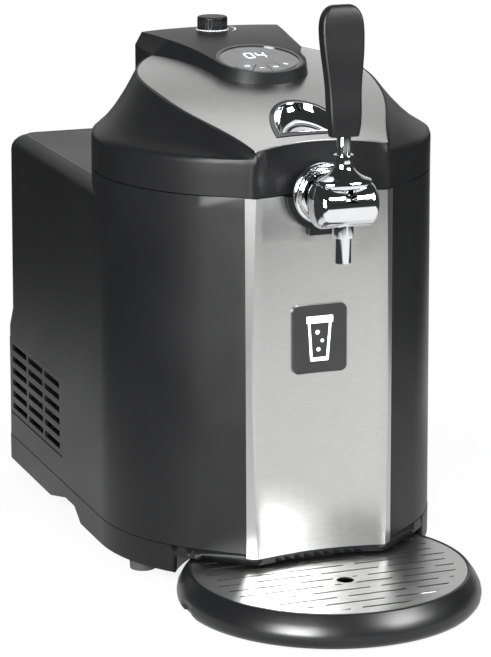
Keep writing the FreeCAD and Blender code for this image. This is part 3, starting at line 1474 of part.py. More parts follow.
def lid_foam():
    """The foam over the lining's dish, shaped to the lid and grooved for the cartridge and the latch."""
    low = size.seam_level + 0.6 + size.dish_rise
    foam = upright(size.dish_radius - 6, 0, -4, low, LID_TOP_MAX)
    foam = foam.common(lid_solid(size.wall + 0.5, LID_FOOT - 5)).cut(above_top(-size.wall - size.sheet - 0.3))
    sleeve = size.cartridge_radius + 3.0
    groove = along_y(sleeve, 0, size.cartridge_level, -10, 130)
    groove = groove.fuse(block(-sleeve, sleeve, -10, 130, size.cartridge_level, LID_TOP_MAX))
    foam = foam.cut(groove)
    foam = foam.cut(upright(20.0, 0, WIRE_HOLE_Y, 340, LID_TOP_MAX))
    return foam.cut(latch_prism(size.latch_rim + 3.0, 300, LID_TOP_MAX)).removeSplitter()


node("lid_lining", shaped(lid_lining()))
node("lid_insulation", shaped(lid_foam()))

seal_low = "seam_level + 0.6 - seal_height"
seal_ring = cut(
    cylinder("seal_radius + seal_width", "seal_height", ("0", "0", seal_low)),
    cylinder("seal_radius", "seal_height + 2", ("0", "0", f"{seal_low} - 1")),
    middle_box("2 * collar_radius + 10", "-seal_radius - 20", "0", f"{seal_low} - 1", "seam_level + 3"),
)
node("lid_seal", seal_ring)

# ----------------------------------------------------------------------------------------
# Control pod: housing, bezel, display disc, keys, board
# ----------------------------------------------------------------------------------------


def pod_wire(inset, top, level, slope):
    """The pod's outline in a plane that rises towards the rear; the top outline is narrower."""
    front_radius = size.pod_front_radius - (POD_TAPER if top else 0.0) - inset
    middle = size.dial_middle if top else size.pod_front_middle
    rear = size.pod_rear - inset
    waist = Vector(41.0 - inset, 75.0, 0) if top else Vector(63.0 - inset, 72.0, 0)
    corner = Vector(48.0 - inset, rear - 9.0, 0) if top else Vector(64.0 - inset, rear - 16.0, 0)
    shoulder = Vector(front_radius, middle, 0)
    tip, back = Vector(0, middle - front_radius, 0), Vector(0, rear, 0)

    def lifted(point):
        return Vector(point.x, point.y, level + slope * point.y)

    ring = [shoulder, waist, corner]
    right = [lifted(p) for p in ring]
    left = [lifted(mirrored(p)) for p in ring]
    edges = [
        Part.makeLine(right[0], right[1]),
        Part.makeLine(right[1], right[2]),
        Part.Arc(right[2], lifted(back), left[2]).toShape(),
        Part.makeLine(left[2], left[1]),
        Part.makeLine(left[1], left[0]),
        Part.Arc(left[0], lifted(tip), right[0]).toShape(),
    ]
    return Part.Wire(edges)


def above_pod(drop):
    """Everything above the pod's top, an arc from the display to the rear."""
    reach = size.pod_rear
    middle_share = 45.0 / reach
    slope = (size.pod_middle_level - size.pod_front_level) / (middle_share * reach)
    front = Vector(-150, -45.0, size.pod_front_level - 45.0 * slope * 1.3 - drop)
    middle = Vector(-150, 45.0, size.pod_middle_level - drop)
    rear = Vector(-150, reach + 10.0, size.pod_rear_level - drop)
    high = Vector(0, 0, 100)
    edges = [
        Part.Arc(front, middle, rear).toShape(),
        Part.makeLine(rear, rear + high),
        Part.makeLine(rear + high, front + high),
        Part.makeLine(front + high, front),
    ]
    return Part.Face(Part.Wire(edges)).extrude(Vector(300, 0, 0))


POD_TAPER = 4.2
POD_EDGE_LEVEL = 377.3
POD_EDGE_SLOPE = 0.0947


def pod_form(inset, drop):
    """The pod's outer form, or its hollow: upright walls, bevelled flanks and an arched top."""
    edge_level = POD_EDGE_LEVEL - drop
    lower = pod_wire(inset, False, edge_level - 60, 0.0)
    edge = pod_wire(inset, False, edge_level, POD_EDGE_SLOPE)
    upper = pod_wire(inset, True, edge_level + 18.0, 0.13)
    form = ruled([lower, edge, upper])
    return form.cut(above_pod(drop))


def dial_frame(shape):
    """Moves a shape made about the origin to the display disc's place and tilt."""
    shape.rotate(Vector(), Vector(1, 0, 0), size.dial_tilt)
    shape.translate(Vector(0, size.dial_middle, size.dial_level))
    return shape


def control_pod():
    """The pod on the lid: hollow, open below, bored for the display and the regulator."""
    solid = pod_form(0, 0).cut(pod_form(2.4, 2.4))
    under = lid_solid(0, LID_FOOT - 30).cut(above_top(0.0))
    solid = solid.cut(under)
    bezel_room = size.dial_radius + size.bezel_width + 0.1
    solid = solid.cut(dial_frame(Part.makeCylinder(bezel_room, 30, Vector(0, 0, -12))))
    return solid.cut(upright(4.2, 0, size.knob_reach, 380, 420)).removeSplitter()


node("control_pod", shaped(control_pod()))


DIAL_SEAT = 1.0


def bezel():
    """The gloss ring round the display disc."""
    ring = Part.makeCylinder(size.dial_radius + size.bezel_width, 6.6, Vector(0, 0, -5.8))
    hole = Part.makeCylinder(size.dial_radius - DIAL_SEAT, 20, Vector(0, 0, -10))
    return dial_frame(ring.cut(hole))


KEYS = ["key_power", "key_down", "key_set", "key_up"]
KEY_SPAN = 31.0
KEY_START = -90.0 - 2 * KEY_SPAN


def key_sector(index, grow, low, high):
    """One key: a sector of a ring on the front half of the disc."""
    start = KEY_START + index * KEY_SPAN
    gap = 0.35
    outer = Part.makeCylinder(size.key_outer + grow, high - low, Vector(0, 0, low), Vector(0, 0, 1), KEY_SPAN)
    inner = Part.makeCylinder(size.key_inner - grow, high - low + 2, Vector(0, 0, low - 1))
    sector = outer.cut(inner)
    sector.rotate(Vector(), Vector(0, 0, 1), start)
    if grow > 0:
        return sector
    for side in (-1, 1):
        edge = math.radians(start + KEY_SPAN / 2 + side * KEY_SPAN / 2)
        strip = Part.makeBox(2 * size.key_outer, 2 * gap, 20, Vector(0, -gap, -10))
        strip.rotate(Vector(), Vector(0, 0, 1), math.degrees(edge))
        sector = sector.cut(strip)
    return sector


def display_disc():
    """The display disc: a gloss window with room for the four keys."""
    radius = size.dial_radius - DIAL_SEAT - size.running
    lens = Part.makeCylinder(radius, size.dial_thick, Vector(0, 0, -size.dial_thick))
    for index in range(len(KEYS)):
        lens = lens.cut(key_sector(index, 0.3, -20, 20))
    return dial_frame(lens)


def control_board():
    """The round circuit board under the disc with a switch below each key."""
    top = -size.dial_thick - 2.2
    board = Part.makeCylinder(size.dial_radius - DIAL_SEAT - 0.3, 1.6, Vector(0, 0, top - 1.6))
    reach = (size.key_inner + size.key_outer) / 2
    for index in range(len(KEYS)):
        azimuth = math.radians(KEY_START + (index + 0.5) * KEY_SPAN)
        x, y = reach * math.cos(azimuth), reach * math.sin(azimuth)
        board = board.fuse(Part.makeBox(5, 5, 1.1, Vector(x - 2.5, y - 2.5, top - 0.01)))
    return dial_frame(board.removeSplitter())


node("display_bezel", shaped(bezel()))
node("display_disc", shaped(display_disc()))
node("control_board", shaped(control_board()))
for index, name in enumerate(KEYS):
    node(name, shaped(dial_frame(key_sector(index, 0.0, -size.dial_thick + 0.4, 0.9))))

# ----------------------------------------------------------------------------------------
# Gas regulator: knob, body, cartridge sleeve
# ----------------------------------------------------------------------------------------


def regulator_knob():
    """The knurled knob on the pod's top."""
    top = size.knob_foot + size.knob_height
    knob = upright(size.knob_radius, 0, size.knob_reach, size.knob_foot + 0.3, top)
    top_edge = [edge for edge in knob.Edges if edge.BoundBox.ZMin > top - 0.01]
    knob = knob.makeFillet(1.4, top_edge)
    flutes = 30
    tools = []
    for index in range(flutes):
        azimuth = 2 * math.pi * index / flutes
        x = (size.knob_radius + 0.5) * math.cos(azimuth)
        y = size.knob_reach + (size.knob_radius + 0.5) * math.sin(azimuth)
        tools.append(upright(0.9, x, y, size.knob_foot + 1.6, top - 1.6))
    knob = knob.cut(tools)
    bore = upright(SPINDLE_RADIUS + size.running, 0, size.knob_reach, size.knob_foot - 1, top - 3)
    return knob.cut(bore).removeSplitter()


node("regulator_knob", shaped(regulator_knob()))


def regulator_body():
    """The brass regulator: a body in the lid's rear with the knob's spindle on top."""
    low = size.cartridge_level - 12
    body = upright(size.regulator_radius, 0, size.knob_reach, low, size.knob_foot - 6.0)
    top = size.knob_foot + size.knob_height
    spindle = upright(SPINDLE_RADIUS, 0, size.knob_reach, size.knob_foot - 7.0, top - 3.4)
    port = along_y(7.0, 0, size.cartridge_level, size.knob_reach - 16, size.knob_reach)
    return body.fuse([spindle, port]).removeSplitter()


def cartridge_sleeve():
    """The sleeve that holds a gas cartridge against the regulator, closed by its cap."""
    back = size.knob_reach - 10
    front = back - size.cartridge_length
    outer = along_y(size.cartridge_radius + 2.0, 0, size.cartridge_level, front, back)
    room = along_y(size.cartridge_radius, 0, size.cartridge_level, front - 1, back + 1)
    sleeve = outer.cut(room)
    wall = along_y(size.cartridge_radius + 2.0, 0, size.cartridge_level, back - 3, back)
    sleeve = sleeve.fuse(wall)
    return sleeve.cut(regulator_body()).removeSplitter()


node("gas_regulator", shaped(regulator_body()))
node("cartridge_sleeve", shaped(cartridge_sleeve()))

# ----------------------------------------------------------------------------------------
# Latch: black rim, chrome cup, chrome paddle with its hook, catch on the well collar
# ----------------------------------------------------------------------------------------


PADDLE_FRONT = 5.0


def latch_rim():
    """The black rim round the finger cup, following the steel top."""
    ring = latch_prism(size.latch_rim, 300, LID_TOP_MAX).cut(latch_prism(0, 290, LID_TOP_MAX + 10))
    return ring.common(above_top(-6.0)).cut(above_top(0.6)).removeSplitter()


def latch_cup():
    """The chrome finger cup: a D-shaped well below the steel top, open towards the rear half."""
    outer = latch_prism(-0.1, 300, LID_TOP_MAX).common(above_top(-size.latch_depth)).cut(above_top(0.9))
    inner = latch_prism(-2.0, 290, LID_TOP_MAX + 10).common(above_top(-size.latch_depth + 1.6))
    cup = outer.cut(inner)
    return cup.cut(paddle_prism(0.5, 1.8)).removeSplitter()


def paddle_prism(grow, swing):
    """The latch paddle's outline, a smaller D on the cup's floor, with room round it to swing."""
    half = size.latch_half - size.paddle_inset + grow
    front = -size.latch_front + PADDLE_FRONT - swing
    length = size.paddle_length + swing + grow
    return d_prism(half, front, length, size.latch_pivot_level, LID_TOP_MAX)


PIVOT_WALL = 1.3


def across(radius, y, z, half):
    """A round bar along X, as a plain shape."""
    return Part.makeCylinder(radius, 2 * half, Vector(-half, y, z), Vector(1, 0, 0))


def latch_paddle():
    """The chrome paddle on the cup's floor with its web down to the pivot."""
    low = -size.latch_depth
    y, level = -size.latch_pivot, size.latch_pivot_level
    lever = paddle_prism(0, 0).common(above_top(low + 0.2)).cut(above_top(low + 1.6))
    web = block(-6, 6, y - 2, y + 2, level, top_level(0, y, 0)).cut(above_top(low + 1.0))
    barrel = across(PIVOT_RADIUS + PIVOT_WALL, y, level, 9.0)
    bore = across(PIVOT_RADIUS + size.running, y, level, 40)
    return lever.fuse([web, barrel]).cut(bore).removeSplitter()


def latch_hooks():
    """Two hooks that hang from the pivot, one on each side of the tap's shank."""
    y, level = -size.latch_pivot, size.latch_pivot_level
    front, foot = -size.hook_front, size.hook_foot
    inner = size.hook_side - size.hook_width / 2
    outer = size.hook_side + size.hook_width / 2
    parts = []
    for side in (-1, 1):
        low, high = sorted((side * inner, side * outer))
        arm = block(low, high, front, y + 2, level - 2.4, level + 1.0)
        shank = block(low, high, front, front + 3.0, foot, level)
        lip = block(low, high, front - 2.4, front + 1.0, foot, foot + 1.4)
        sleeve_low, sleeve_high = sorted((side * (9.0 + size.fit_gap), side * outer))
        sleeve = Part.makeCylinder(
            PIVOT_RADIUS + PIVOT_WALL, sleeve_high - sleeve_low, Vector(sleeve_low, y, level), Vector(1, 0, 0)
        )
        parts.append(sleeve.fuse([arm, shank, lip]))
    bore = across(PIVOT_RADIUS + size.running, y, level, 40)
    return Part.makeCompound([part.cut(bore).removeSplitter() for part in parts])


def latch_catches():
    """Two catches on the well's collar that the hooks reach under."""
    low = size.hook_foot + 1.4 + size.fit_gap
    half = catch_half()
    back = -size.hook_front - CATCH_DEPTH
    parts = []
    for side in (-1, 1):
        x = side * size.hook_side
        nose = block(x - half, x + half, back, -size.hook_front - 0.3, low, CHAMBER_TOP)
        post = block(x - half, x + half, back, back + 1.2, CHAMBER_FLOOR, low)
        parts.append(nose.fuse(post).removeSplitter())
    return Part.makeCompound(parts)


node("latch_rim", shaped(latch_rim()))
node("latch_cup", shaped(latch_cup()))
node("latch_paddle", shaped(latch_paddle()))
node("latch_hooks", shaped(latch_hooks()))
node("latch_catches", shaped(latch_catches()))
node("latch_pin", cylinder(
    str(PIVOT_RADIUS), "2 * hook_side + 2 * hook_width + 6",
    ("-hook_side - hook_width - 3", "-latch_pivot", "latch_pivot_level"), "X",
))

# ----------------------------------------------------------------------------------------
# Hinge at the rear of the lid
# ----------------------------------------------------------------------------------------

PIN_AT = ("-hinge_half", "hinge_reach", "hinge_level")
node("hinge_pin", cylinder("hinge_pin_radius", "2 * hinge_half", PIN_AT, "X"))

bracket_plate = middle_box(
    "2 * hinge_half", "shell_radius + 1", "hinge_reach + 9", "deck_level", "hinge_level - knuckle_radius - 0.6"
)
lugs = []
for side in ("-hinge_half", "hinge_half - lug_width"):
    lug = cylinder("knuckle_radius", "lug_width", (side, "hinge_reach", "hinge_level"), "X")
    foot_block = box(
        "lug_width", "2 * knuckle_radius", "hinge_level - deck_level",
        (side, "hinge_reach - knuckle_radius", "deck_level"),
    )
    lugs += [lug, foot_block]
bracket_bore = cylinder(
    "hinge_pin_radius", "2 * hinge_half + 4", ("-hinge_half - 2", "hinge_reach", "hinge_level"), "X"
)
node("hinge_bracket", cut(fuse(bracket_plate, *lugs), bracket_bore))


def hinge_arm():
    """The lid's half of the hinge: a knuckle between the lugs with a web to the lid's ring."""
    half = size.hinge_half - size.lug_width - size.fit_gap
    centre = Vector(-half, size.hinge_reach, size.hinge_level)
    knuckle = Part.makeCylinder(size.knuckle_radius, 2 * half, centre, Vector(1, 0, 0))
    top = LID_FOOT + 16
    web = block(-half, half, size.shell_radius - 8, size.hinge_reach + 2, LID_FOOT, LID_FOOT + 2.6)
    back = block(-half, half, size.shell_radius - 8, size.shell_radius + 3, LID_FOOT, top)
    solid = knuckle.fuse([web, back])
    solid = solid.cut(upright(size.shell_radius, 0, 0, 0, 500))
    bore = Part.makeCylinder(
        size.hinge_pin_radius + size.running, 4 * half, Vector(-2 * half, centre.y, centre.z), Vector(1, 0, 0)
    )
    return solid.cut(bore).removeSplitter()


node("hinge_arm", shaped(hinge_arm()))

# ----------------------------------------------------------------------------------------
# Drip tray and its grille
# ----------------------------------------------------------------------------------------

TRAY_SEAT = ("0", "-tray_middle", "0")
tray_blank = document.addObject("PartDesign::Body", "tray_blank")
tray_profile = Drawing(tray_blank, "XZ", "tray_profile").outline([
    ("0", "tray_foot"),
    ("tray_rim_radius - 1", "tray_foot"),
    ("tray_radius - 3", "tray_foot + 2.2"),
    ("tray_radius - 0.6", "tray_foot + 5.5"),
    ("tray_radius", "tray_foot + 9.5"),
    ("tray_radius - 0.8", "tray_foot + 14"),
    ("tray_radius - 3.6", "tray_foot + 19.5"),
    ("tray_rim_radius", "tray_top - 0.6"),
    ("tray_rim_radius - 0.8", "tray_top"),
    ("grille_radius + fit_gap", "tray_top"),
    ("grille_radius + fit_gap", "tray_top - sheet - fit_gap"),
    ("grille_radius - 4", "tray_top - sheet - fit_gap"),
    ("grille_radius - 5", "tray_foot + tray_wall + 4"),
    ("grille_radius - 9", "tray_foot + tray_wall"),
    ("0", "tray_foot + tray_wall"),
])
spin(tray_blank, tray_profile.finish())
seat(tray_blank, TRAY_SEAT)
notches = [
    cylinder("13", "18", (f"{side}tray_radius - 9 + {shift}", "-tray_middle", "-1"), "X")
    for side, shift in (("-", "-3"), ("", "3"))
]
tongue = middle_box(
    "tongue_width", "-tray_middle + tray_rim_radius - 1", "-tray_middle + tray_pocket + wall + 6",
    "tongue_level", "tongue_level + 3",
)
node("drip_tray", fuse(cut(tray_blank, *notches), tongue))


def drip_slots():
    """Staggered rows of slots, kept inside the plate's rim and clear of the drain hole."""
    rows = int((size.grille_radius - 12) // size.drip_row_pitch)
    slots = []
    for row in range(-rows, rows + 1):
        stagger = "drip_slot_length / 4" if row % 2 else "-drip_slot_length / 4"
        for column in range(-2, 3):
            x = f"{column} * (drip_slot_length + drip_bridge) + {stagger}"
            y = f"{row} * drip_row_pitch - tray_middle"
            slots.append(middle_box(
                "drip_slot_length", f"{y} - drip_slot_width / 2", f"{y} + drip_slot_width / 2",
                "tray_top - 4", "tray_top + 1", x,
            ))
    field = cut(
        cylinder("grille_radius - 9", "6", ("0", "-tray_middle", "tray_top - 4.5")),
        cylinder("drain_radius + 3", "8", ("0", "-tray_middle - drain_shift", "tray_top - 5")),
    )
    return common(field, group(*slots))


GRILLE_AT = ("0", "-tray_middle", "tray_top - sheet - fit_gap")
node("drip_grille", cut(
    cylinder("grille_radius", "sheet", GRILLE_AT),
    group(drip_slots(), cylinder("drain_radius", "6", ("0", "-tray_middle - drain_shift", "tray_top - 4.5"))),
))

# ----------------------------------------------------------------------------------------
# Fasteners
# ----------------------------------------------------------------------------------------

base_places = [(x, y, size.foot_height) for x, y in BASE_SCREW_PLACES]
screws("base_screws", base_places, BASE_SCREW_RADIUS, 12.0, Vector(0, 0, 1))

cover_places = [(x, size.rear_lower - COVER_SINK, z) for x, z in COVER_SCREW_PLACES]
screws("cover_screws", cover_places, COVER_SCREW_RADIUS, 9.0, Vector(0, -1, 0))

lid_places = [(x, y, LID_FLANGE) for x, y in LID_SCREW_PLACES]
screws("lid_screws", lid_places, LID_SCREW_RADIUS, 11.0, Vector(0, 0, 1))

# ----------------------------------------------------------------------------------------
# Checks and files
# ----------------------------------------------------------------------------------------


def check_document():
    """Stops when an object failed to compute or a sub-part has no valid shape."""
    for item in document.Objects:
        if "Invalid" in item.State or "Error" in item.State:
            raise RuntimeError(f"{item.Label}: {item.State}")
    for item in nodes:
        if item.Shape.isNull() or not item.Shape.isValid() or not item.Shape.Solids:
            raise RuntimeError(f"{item.Label}: no valid shape")


document.recompute()
check_document()
os.makedirs("parts", exist_ok=True)
for item in nodes:
    item.Shape.exportStep(os.path.join("parts", item.Label + ".step"))
    print(f"{item.Label}: {len(item.Shape.Solids)} solid(s), {item.Shape.Volume / 1000:.1f} cm3")
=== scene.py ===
"""The looks of a mini keg beer dispenser: finishes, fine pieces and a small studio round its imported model."""

import json
import logging
import math
from collections.abc import Callable, Sequence
from dataclasses import dataclass
from enum import Enum

import bmesh
import bpy
import numpy as np
from mathutils import Matrix, Vector
from mathutils.bvhtree import BVHTree

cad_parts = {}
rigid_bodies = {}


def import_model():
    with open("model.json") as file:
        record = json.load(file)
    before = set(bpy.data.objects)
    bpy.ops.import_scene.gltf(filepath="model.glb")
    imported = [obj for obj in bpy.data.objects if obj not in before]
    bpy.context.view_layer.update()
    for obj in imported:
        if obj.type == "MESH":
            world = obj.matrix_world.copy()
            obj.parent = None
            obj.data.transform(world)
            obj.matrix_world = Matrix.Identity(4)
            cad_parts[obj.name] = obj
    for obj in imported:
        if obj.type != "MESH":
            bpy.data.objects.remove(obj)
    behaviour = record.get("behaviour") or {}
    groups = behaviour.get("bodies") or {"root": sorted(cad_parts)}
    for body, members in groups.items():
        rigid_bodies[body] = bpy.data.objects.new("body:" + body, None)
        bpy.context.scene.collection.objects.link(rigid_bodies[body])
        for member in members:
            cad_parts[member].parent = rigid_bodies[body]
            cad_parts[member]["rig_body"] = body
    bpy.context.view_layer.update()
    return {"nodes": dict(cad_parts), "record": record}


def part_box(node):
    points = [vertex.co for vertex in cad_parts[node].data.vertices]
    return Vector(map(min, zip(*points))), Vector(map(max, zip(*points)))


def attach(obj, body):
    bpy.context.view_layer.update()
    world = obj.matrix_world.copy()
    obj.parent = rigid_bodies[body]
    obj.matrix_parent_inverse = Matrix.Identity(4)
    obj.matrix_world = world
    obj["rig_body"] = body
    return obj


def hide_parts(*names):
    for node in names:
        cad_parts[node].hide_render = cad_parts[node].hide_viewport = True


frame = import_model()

Triple = tuple[float, float, float]
Range = tuple[float, float]
# A first value, a last one and how many there are in all.
Spread = tuple[float, float, int]
Socket = bpy.types.NodeSocket
# Lays points of along, across and height onto a surface of the machine.
Fold = Callable[[np.ndarray], np.ndarray]

LOG = logging.getLogger("dispenser")
MM = 0.001
SAME_PLACE = 0.002 * MM
PLATE_CREASE = 25.0
BEVELLED_FROM = 50.0
PATTERN_RANGE = (0.3, 0.7)
BLACK = (0.0055, 0.0056, 0.006)
SLOTS = {row["node"]: row["material_slot"] for row in frame["record"]["subparts"]}


class Axis(Enum):
    """A direction that a brushed, drawn or turned finish runs along."""

    X = 0
    Y = 1
    Z = 2


# Nodes


class Wiring:
    """A node tree in the making."""

    def __init__(self, tree: bpy.types.NodeTree) -> None:
        """Empties a tree and adds its coordinates.

        Args:
            tree: the node tree of a material or of the world.
        """
        self.tree = tree
        tree.nodes.clear()
        self.coordinates = self.add("ShaderNodeTexCoord")

    def add(self, kind: str, **settings: object) -> bpy.types.Node:
        """Adds a node.

        Args:
            kind: the node's type name.
            settings: properties of the node to set.

        Returns:
            The new node.
        """
        made = self.tree.nodes.new(kind)
        for key, value in settings.items():
            setattr(made, key, value)
        return made

    def fix(self, node: bpy.types.Node, **values: object) -> None:
        """Sets plain values on a node's own inputs, underscores standing for blanks."""
        for key, value in values.items():
            node.inputs[key.replace("_", " ")].default_value = value

    def join(self, source: Socket, node: bpy.types.Node, into: str | int) -> None:
        """Links an output socket to one of a node's inputs."""
        self.tree.links.new(source, node.inputs[into])

    def sum(self, operation: str, *terms: Socket | float) -> Socket:
        """Works out one step of arithmetic.

        Args:
            operation: the kind of step.
            terms: its inputs in order, as sockets or plain numbers.

        Returns:
            The result.
        """
        node = self.add("ShaderNodeMath", operation=operation)
        for place, term in zip(node.inputs, terms):
            if isinstance(term, bpy.types.NodeSocket):
                self.tree.links.new(term, place)
            else:
                place.default_value = term
        return node.outputs["Value"]

    def fade(self, source: Socket, over: Range, values: Range, curve: str = "SMOOTHSTEP") -> Socket:
        """A value that changes while its source goes over a range.

        Args:
            source: what the value depends on.
            over: where the change starts and ends.
            values: the values before and after it.
            curve: the kind of change.

        Returns:
            The value.
        """
        mapped = self.add("ShaderNodeMapRange", interpolation_type=curve)
        for key, value in zip(("From Min", "From Max", "To Min", "To Max"), (*over, *values)):
            mapped.inputs[key].default_value = value
        self.join(source, mapped, "Value")
        return mapped.outputs["Result"]

    def turned(self, azimuth: float, space: str = "Object") -> tuple[Socket, Socket]:
        """Coordinates turned about the vertical.

        Args:
            azimuth: the turn in degrees.
            space: the coordinates to turn.

        Returns:
            The turned X and Y.
        """
        mapping = self.add("ShaderNodeMapping", vector_type="TEXTURE")
        self.fix(mapping, Rotation=(0.0, 0.0, math.radians(azimuth)))
        self.join(self.coordinates.outputs[space], mapping, "Vector")
        split = self.add("ShaderNodeSeparateXYZ")
        self.join(mapping.outputs["Vector"], split, "Vector")
        return split.outputs["X"], split.outputs["Y"]

    def seen(self) -> Socket:
        """A value of 1 for camera, mirror and glass rays and 0 for light scattered by matt surfaces."""
        rays = self.add("ShaderNodeLightPath").outputs
        bent = self.sum("MAXIMUM", rays["Is Glossy Ray"], rays["Is Transmission Ray"])
        return self.sum("MAXIMUM", rays["Is Camera Ray"], bent)


class Graph(Wiring):
    """A node material in the making, with its surface shader."""

    def __init__(self, name: str) -> None:
        """Starts an empty material.

        Args:
            name: the material's name.
        """
        self.material = bpy.data.materials.new(name)
        self.material.use_nodes = True
        super().__init__(self.material.node_tree)
        self.output = self.add("ShaderNodeOutputMaterial")
        self.surface = self.add("ShaderNodeBsdfPrincipled")
        self.join(self.surface.outputs["BSDF"], self.output, "Surface")

    def pattern(self, kind: str, scale: Triple, **values: object) -> bpy.types.Node:
        """A pattern in object coordinates.

        Args:
            kind: the texture node's type name.
            scale: its cells per metre along X, Y and Z.
            values: plain values for its other inputs.

        Returns:
            The texture node.
        """
        mapping = self.add("ShaderNodeMapping")
        self.fix(mapping, Scale=scale)
        self.join(self.coordinates.outputs["Object"], mapping, "Vector")
        made = self.add(kind)
        self.fix(made, Scale=1.0, **values)
        self.join(mapping.outputs["Vector"], made, "Vector")
        return made

    def noise(self, scale: Triple, detail: float = 3.0, rough: float = 0.5) -> Socket:
        """Cloudy noise with a number of finer layers and their strength."""
        return self.pattern("ShaderNodeTexNoise", scale, Detail=detail, Roughness=rough).outputs["Fac"]

    def tint(self, source: Socket, colour: Triple, tones: Range) -> None:
        """Colours the surface between two tones of a colour by a pattern.

        Args:
            source: the pattern.
            colour: the colour.
            tones: factors on the colour for the pattern's dark and light parts.
        """
        ramp = self.add("ShaderNodeValToRGB")
        for stop, place, tone in zip(ramp.color_ramp.elements, PATTERN_RANGE, tones):
            stop.position = place
            stop.color = shade(colour, tone)
        self.join(source, ramp, "Fac")
        self.join(ramp.outputs["Color"], self.surface, "Base Color")

    def roughen(self, source: Socket, values: Range) -> None:
        """Varies the surface's roughness by a pattern."""
        self.join(self.fade(source, PATTERN_RANGE, values, "LINEAR"), self.surface, "Roughness")

    def emboss(self, source: Socket, height: float) -> None:
        """Raises the surface by a pattern.

        Args:
            source: the pattern.
            height: how high its light parts stand, in metres.
        """
        bump = self.add("ShaderNodeBump")
        self.fix(bump, Strength=1.0, Distance=height)
        self.join(source, bump, "Height")
        self.join(bump.outputs["Normal"], self.surface, "Normal")


def shade(colour: Triple, factor: float) -> tuple[float, ...]:
    """The colour made lighter or darker by a factor, and opaque."""
    return (*(min(1.0, channel * factor) for channel in colour), 1.0)


def even(cells: float) -> Triple:
    """The same number of cells along all three axes."""
    return (cells, cells, cells)


def along(axis: Axis, run: float, across: float) -> Triple:
    """Cells per metre for a pattern whose lines follow one axis: along the lines and across them."""
    return tuple(run if other is axis else across for other in Axis)


# Finishes


@dataclass(frozen=True)
class Finish:
    """A surface finish: one cloudy pattern varies its tone, its roughness and its height."""

    name: str
    colour: Triple
    roughness: Range = (0.3, 0.4)
    tones: Range = (0.9, 1.0)
    cells: float = 100.0
    detail: float = 3.0
    relief: float = 0.0
    metal: float = 0.0

    def material(self) -> bpy.types.Material:
        """Builds the finish.

        Returns:
            Its node material.
        """
        graph = Graph(self.name)
        self.lay(graph)
        return graph.material

    def lay(self, graph: Graph) -> None:
        """Lays the finish's own nodes.

        Args:
            graph: the new material.
        """
        cloud = graph.noise(even(self.cells), self.detail)
        graph.tint(cloud, self.colour, self.tones)
        graph.roughen(cloud, self.roughness)
        if self.relief:
            graph.emboss(cloud, self.relief)
        graph.fix(graph.surface, Metallic=self.metal)


@dataclass(frozen=True)
class MouldedPlastic(Finish):
    """Matt moulded plastic: a fine spark-eroded grain over a faint mottle."""

    roughness: Range = (0.33, 0.41)
    tones: Range = (0.88, 1.12)
    cells: float = 9.0
    detail: float = 4.0
    relief: float = 0.025 * MM
    grain_cells: float = 1400.0
    shine: float = 0.22

    def lay(self, graph: Graph) -> None:
        """Lays the mottle and the grain."""
        mottle = graph.noise(even(self.cells), self.detail)
        graph.tint(mottle, self.colour, self.tones)
        graph.roughen(mottle, self.roughness)
        graph.emboss(graph.noise(even(self.grain_cells), detail=2.0), self.relief)
        graph.fix(graph.surface, Specular_IOR_Level=self.shine)


@dataclass(frozen=True)
class GlossPlastic(Finish):
    """Polished moulded plastic or lacquer, with the faint waviness of a moulding."""

    roughness: Range = (0.08, 0.13)
    tones: Range = (0.85, 1.15)
    cells: float = 60.0
    detail: float = 2.0
    relief: float = 0.02 * MM
    haze_cells: float = 300.0

    def lay(self, graph: Graph) -> None:
        """Lays the waves under a clear coat."""
        wave = graph.noise(even(self.cells), self.detail)
        graph.tint(wave, self.colour, self.tones)
        graph.roughen(graph.noise(even(self.haze_cells)), self.roughness)
        graph.emboss(wave, self.relief)
        graph.fix(graph.surface, Coat_Weight=0.5, Coat_Roughness=0.03, Metallic=self.metal)


@dataclass(frozen=True)
class BrushedSteel(Finish):
    """Stainless sheet brushed in one direction: hair-fine scratches and long faint streaks."""

    roughness: Range = (0.27, 0.34)
    tones: Range = (0.93, 1.07)
    detail: float = 2.0
    relief: float = 0.004 * MM
    metal: float = 1.0
    brushing: Axis = Axis.X
    scratch_cells: Range = (30.0, 4200.0)
    streak_cells: Range = (9.0, 950.0)
    stretch: float = 0.6
    slant: float = 0.02

    def lay(self, graph: Graph) -> None:
        """Lays the scratches and streaks, and draws reflections out across the brushing."""
        scratches = graph.noise(along(self.brushing, *self.scratch_cells), self.detail, rough=0.6)
        streaks = graph.noise(along(self.brushing, *self.streak_cells), self.detail)
        lines = graph.sum("MULTIPLY", graph.sum("ADD", scratches, streaks), 0.5)
        graph.tint(lines, self.colour, self.tones)
        graph.roughen(scratches, self.roughness)
        graph.emboss(scratches, self.relief)
        grain = graph.add("ShaderNodeCombineXYZ")
        for axis in Axis:
            grain.inputs[axis.value].default_value = 1.0 if axis is self.brushing else self.slant
        graph.join(grain.outputs["Vector"], graph.surface, "Tangent")
        graph.fix(graph.surface, Metallic=self.metal, Anisotropic=self.stretch)


@dataclass(frozen=True)
class Chrome(Finish):
    """Polished plating: a mirror with the faintest haze and unevenness."""

    colour: Triple = (0.86, 0.87, 0.88)
    roughness: Range = (0.035, 0.065)
    tones: Range = (0.97, 1.02)
    cells: float = 70.0
    detail: float = 5.0
    relief: float = 0.015 * MM
    metal: float = 1.0


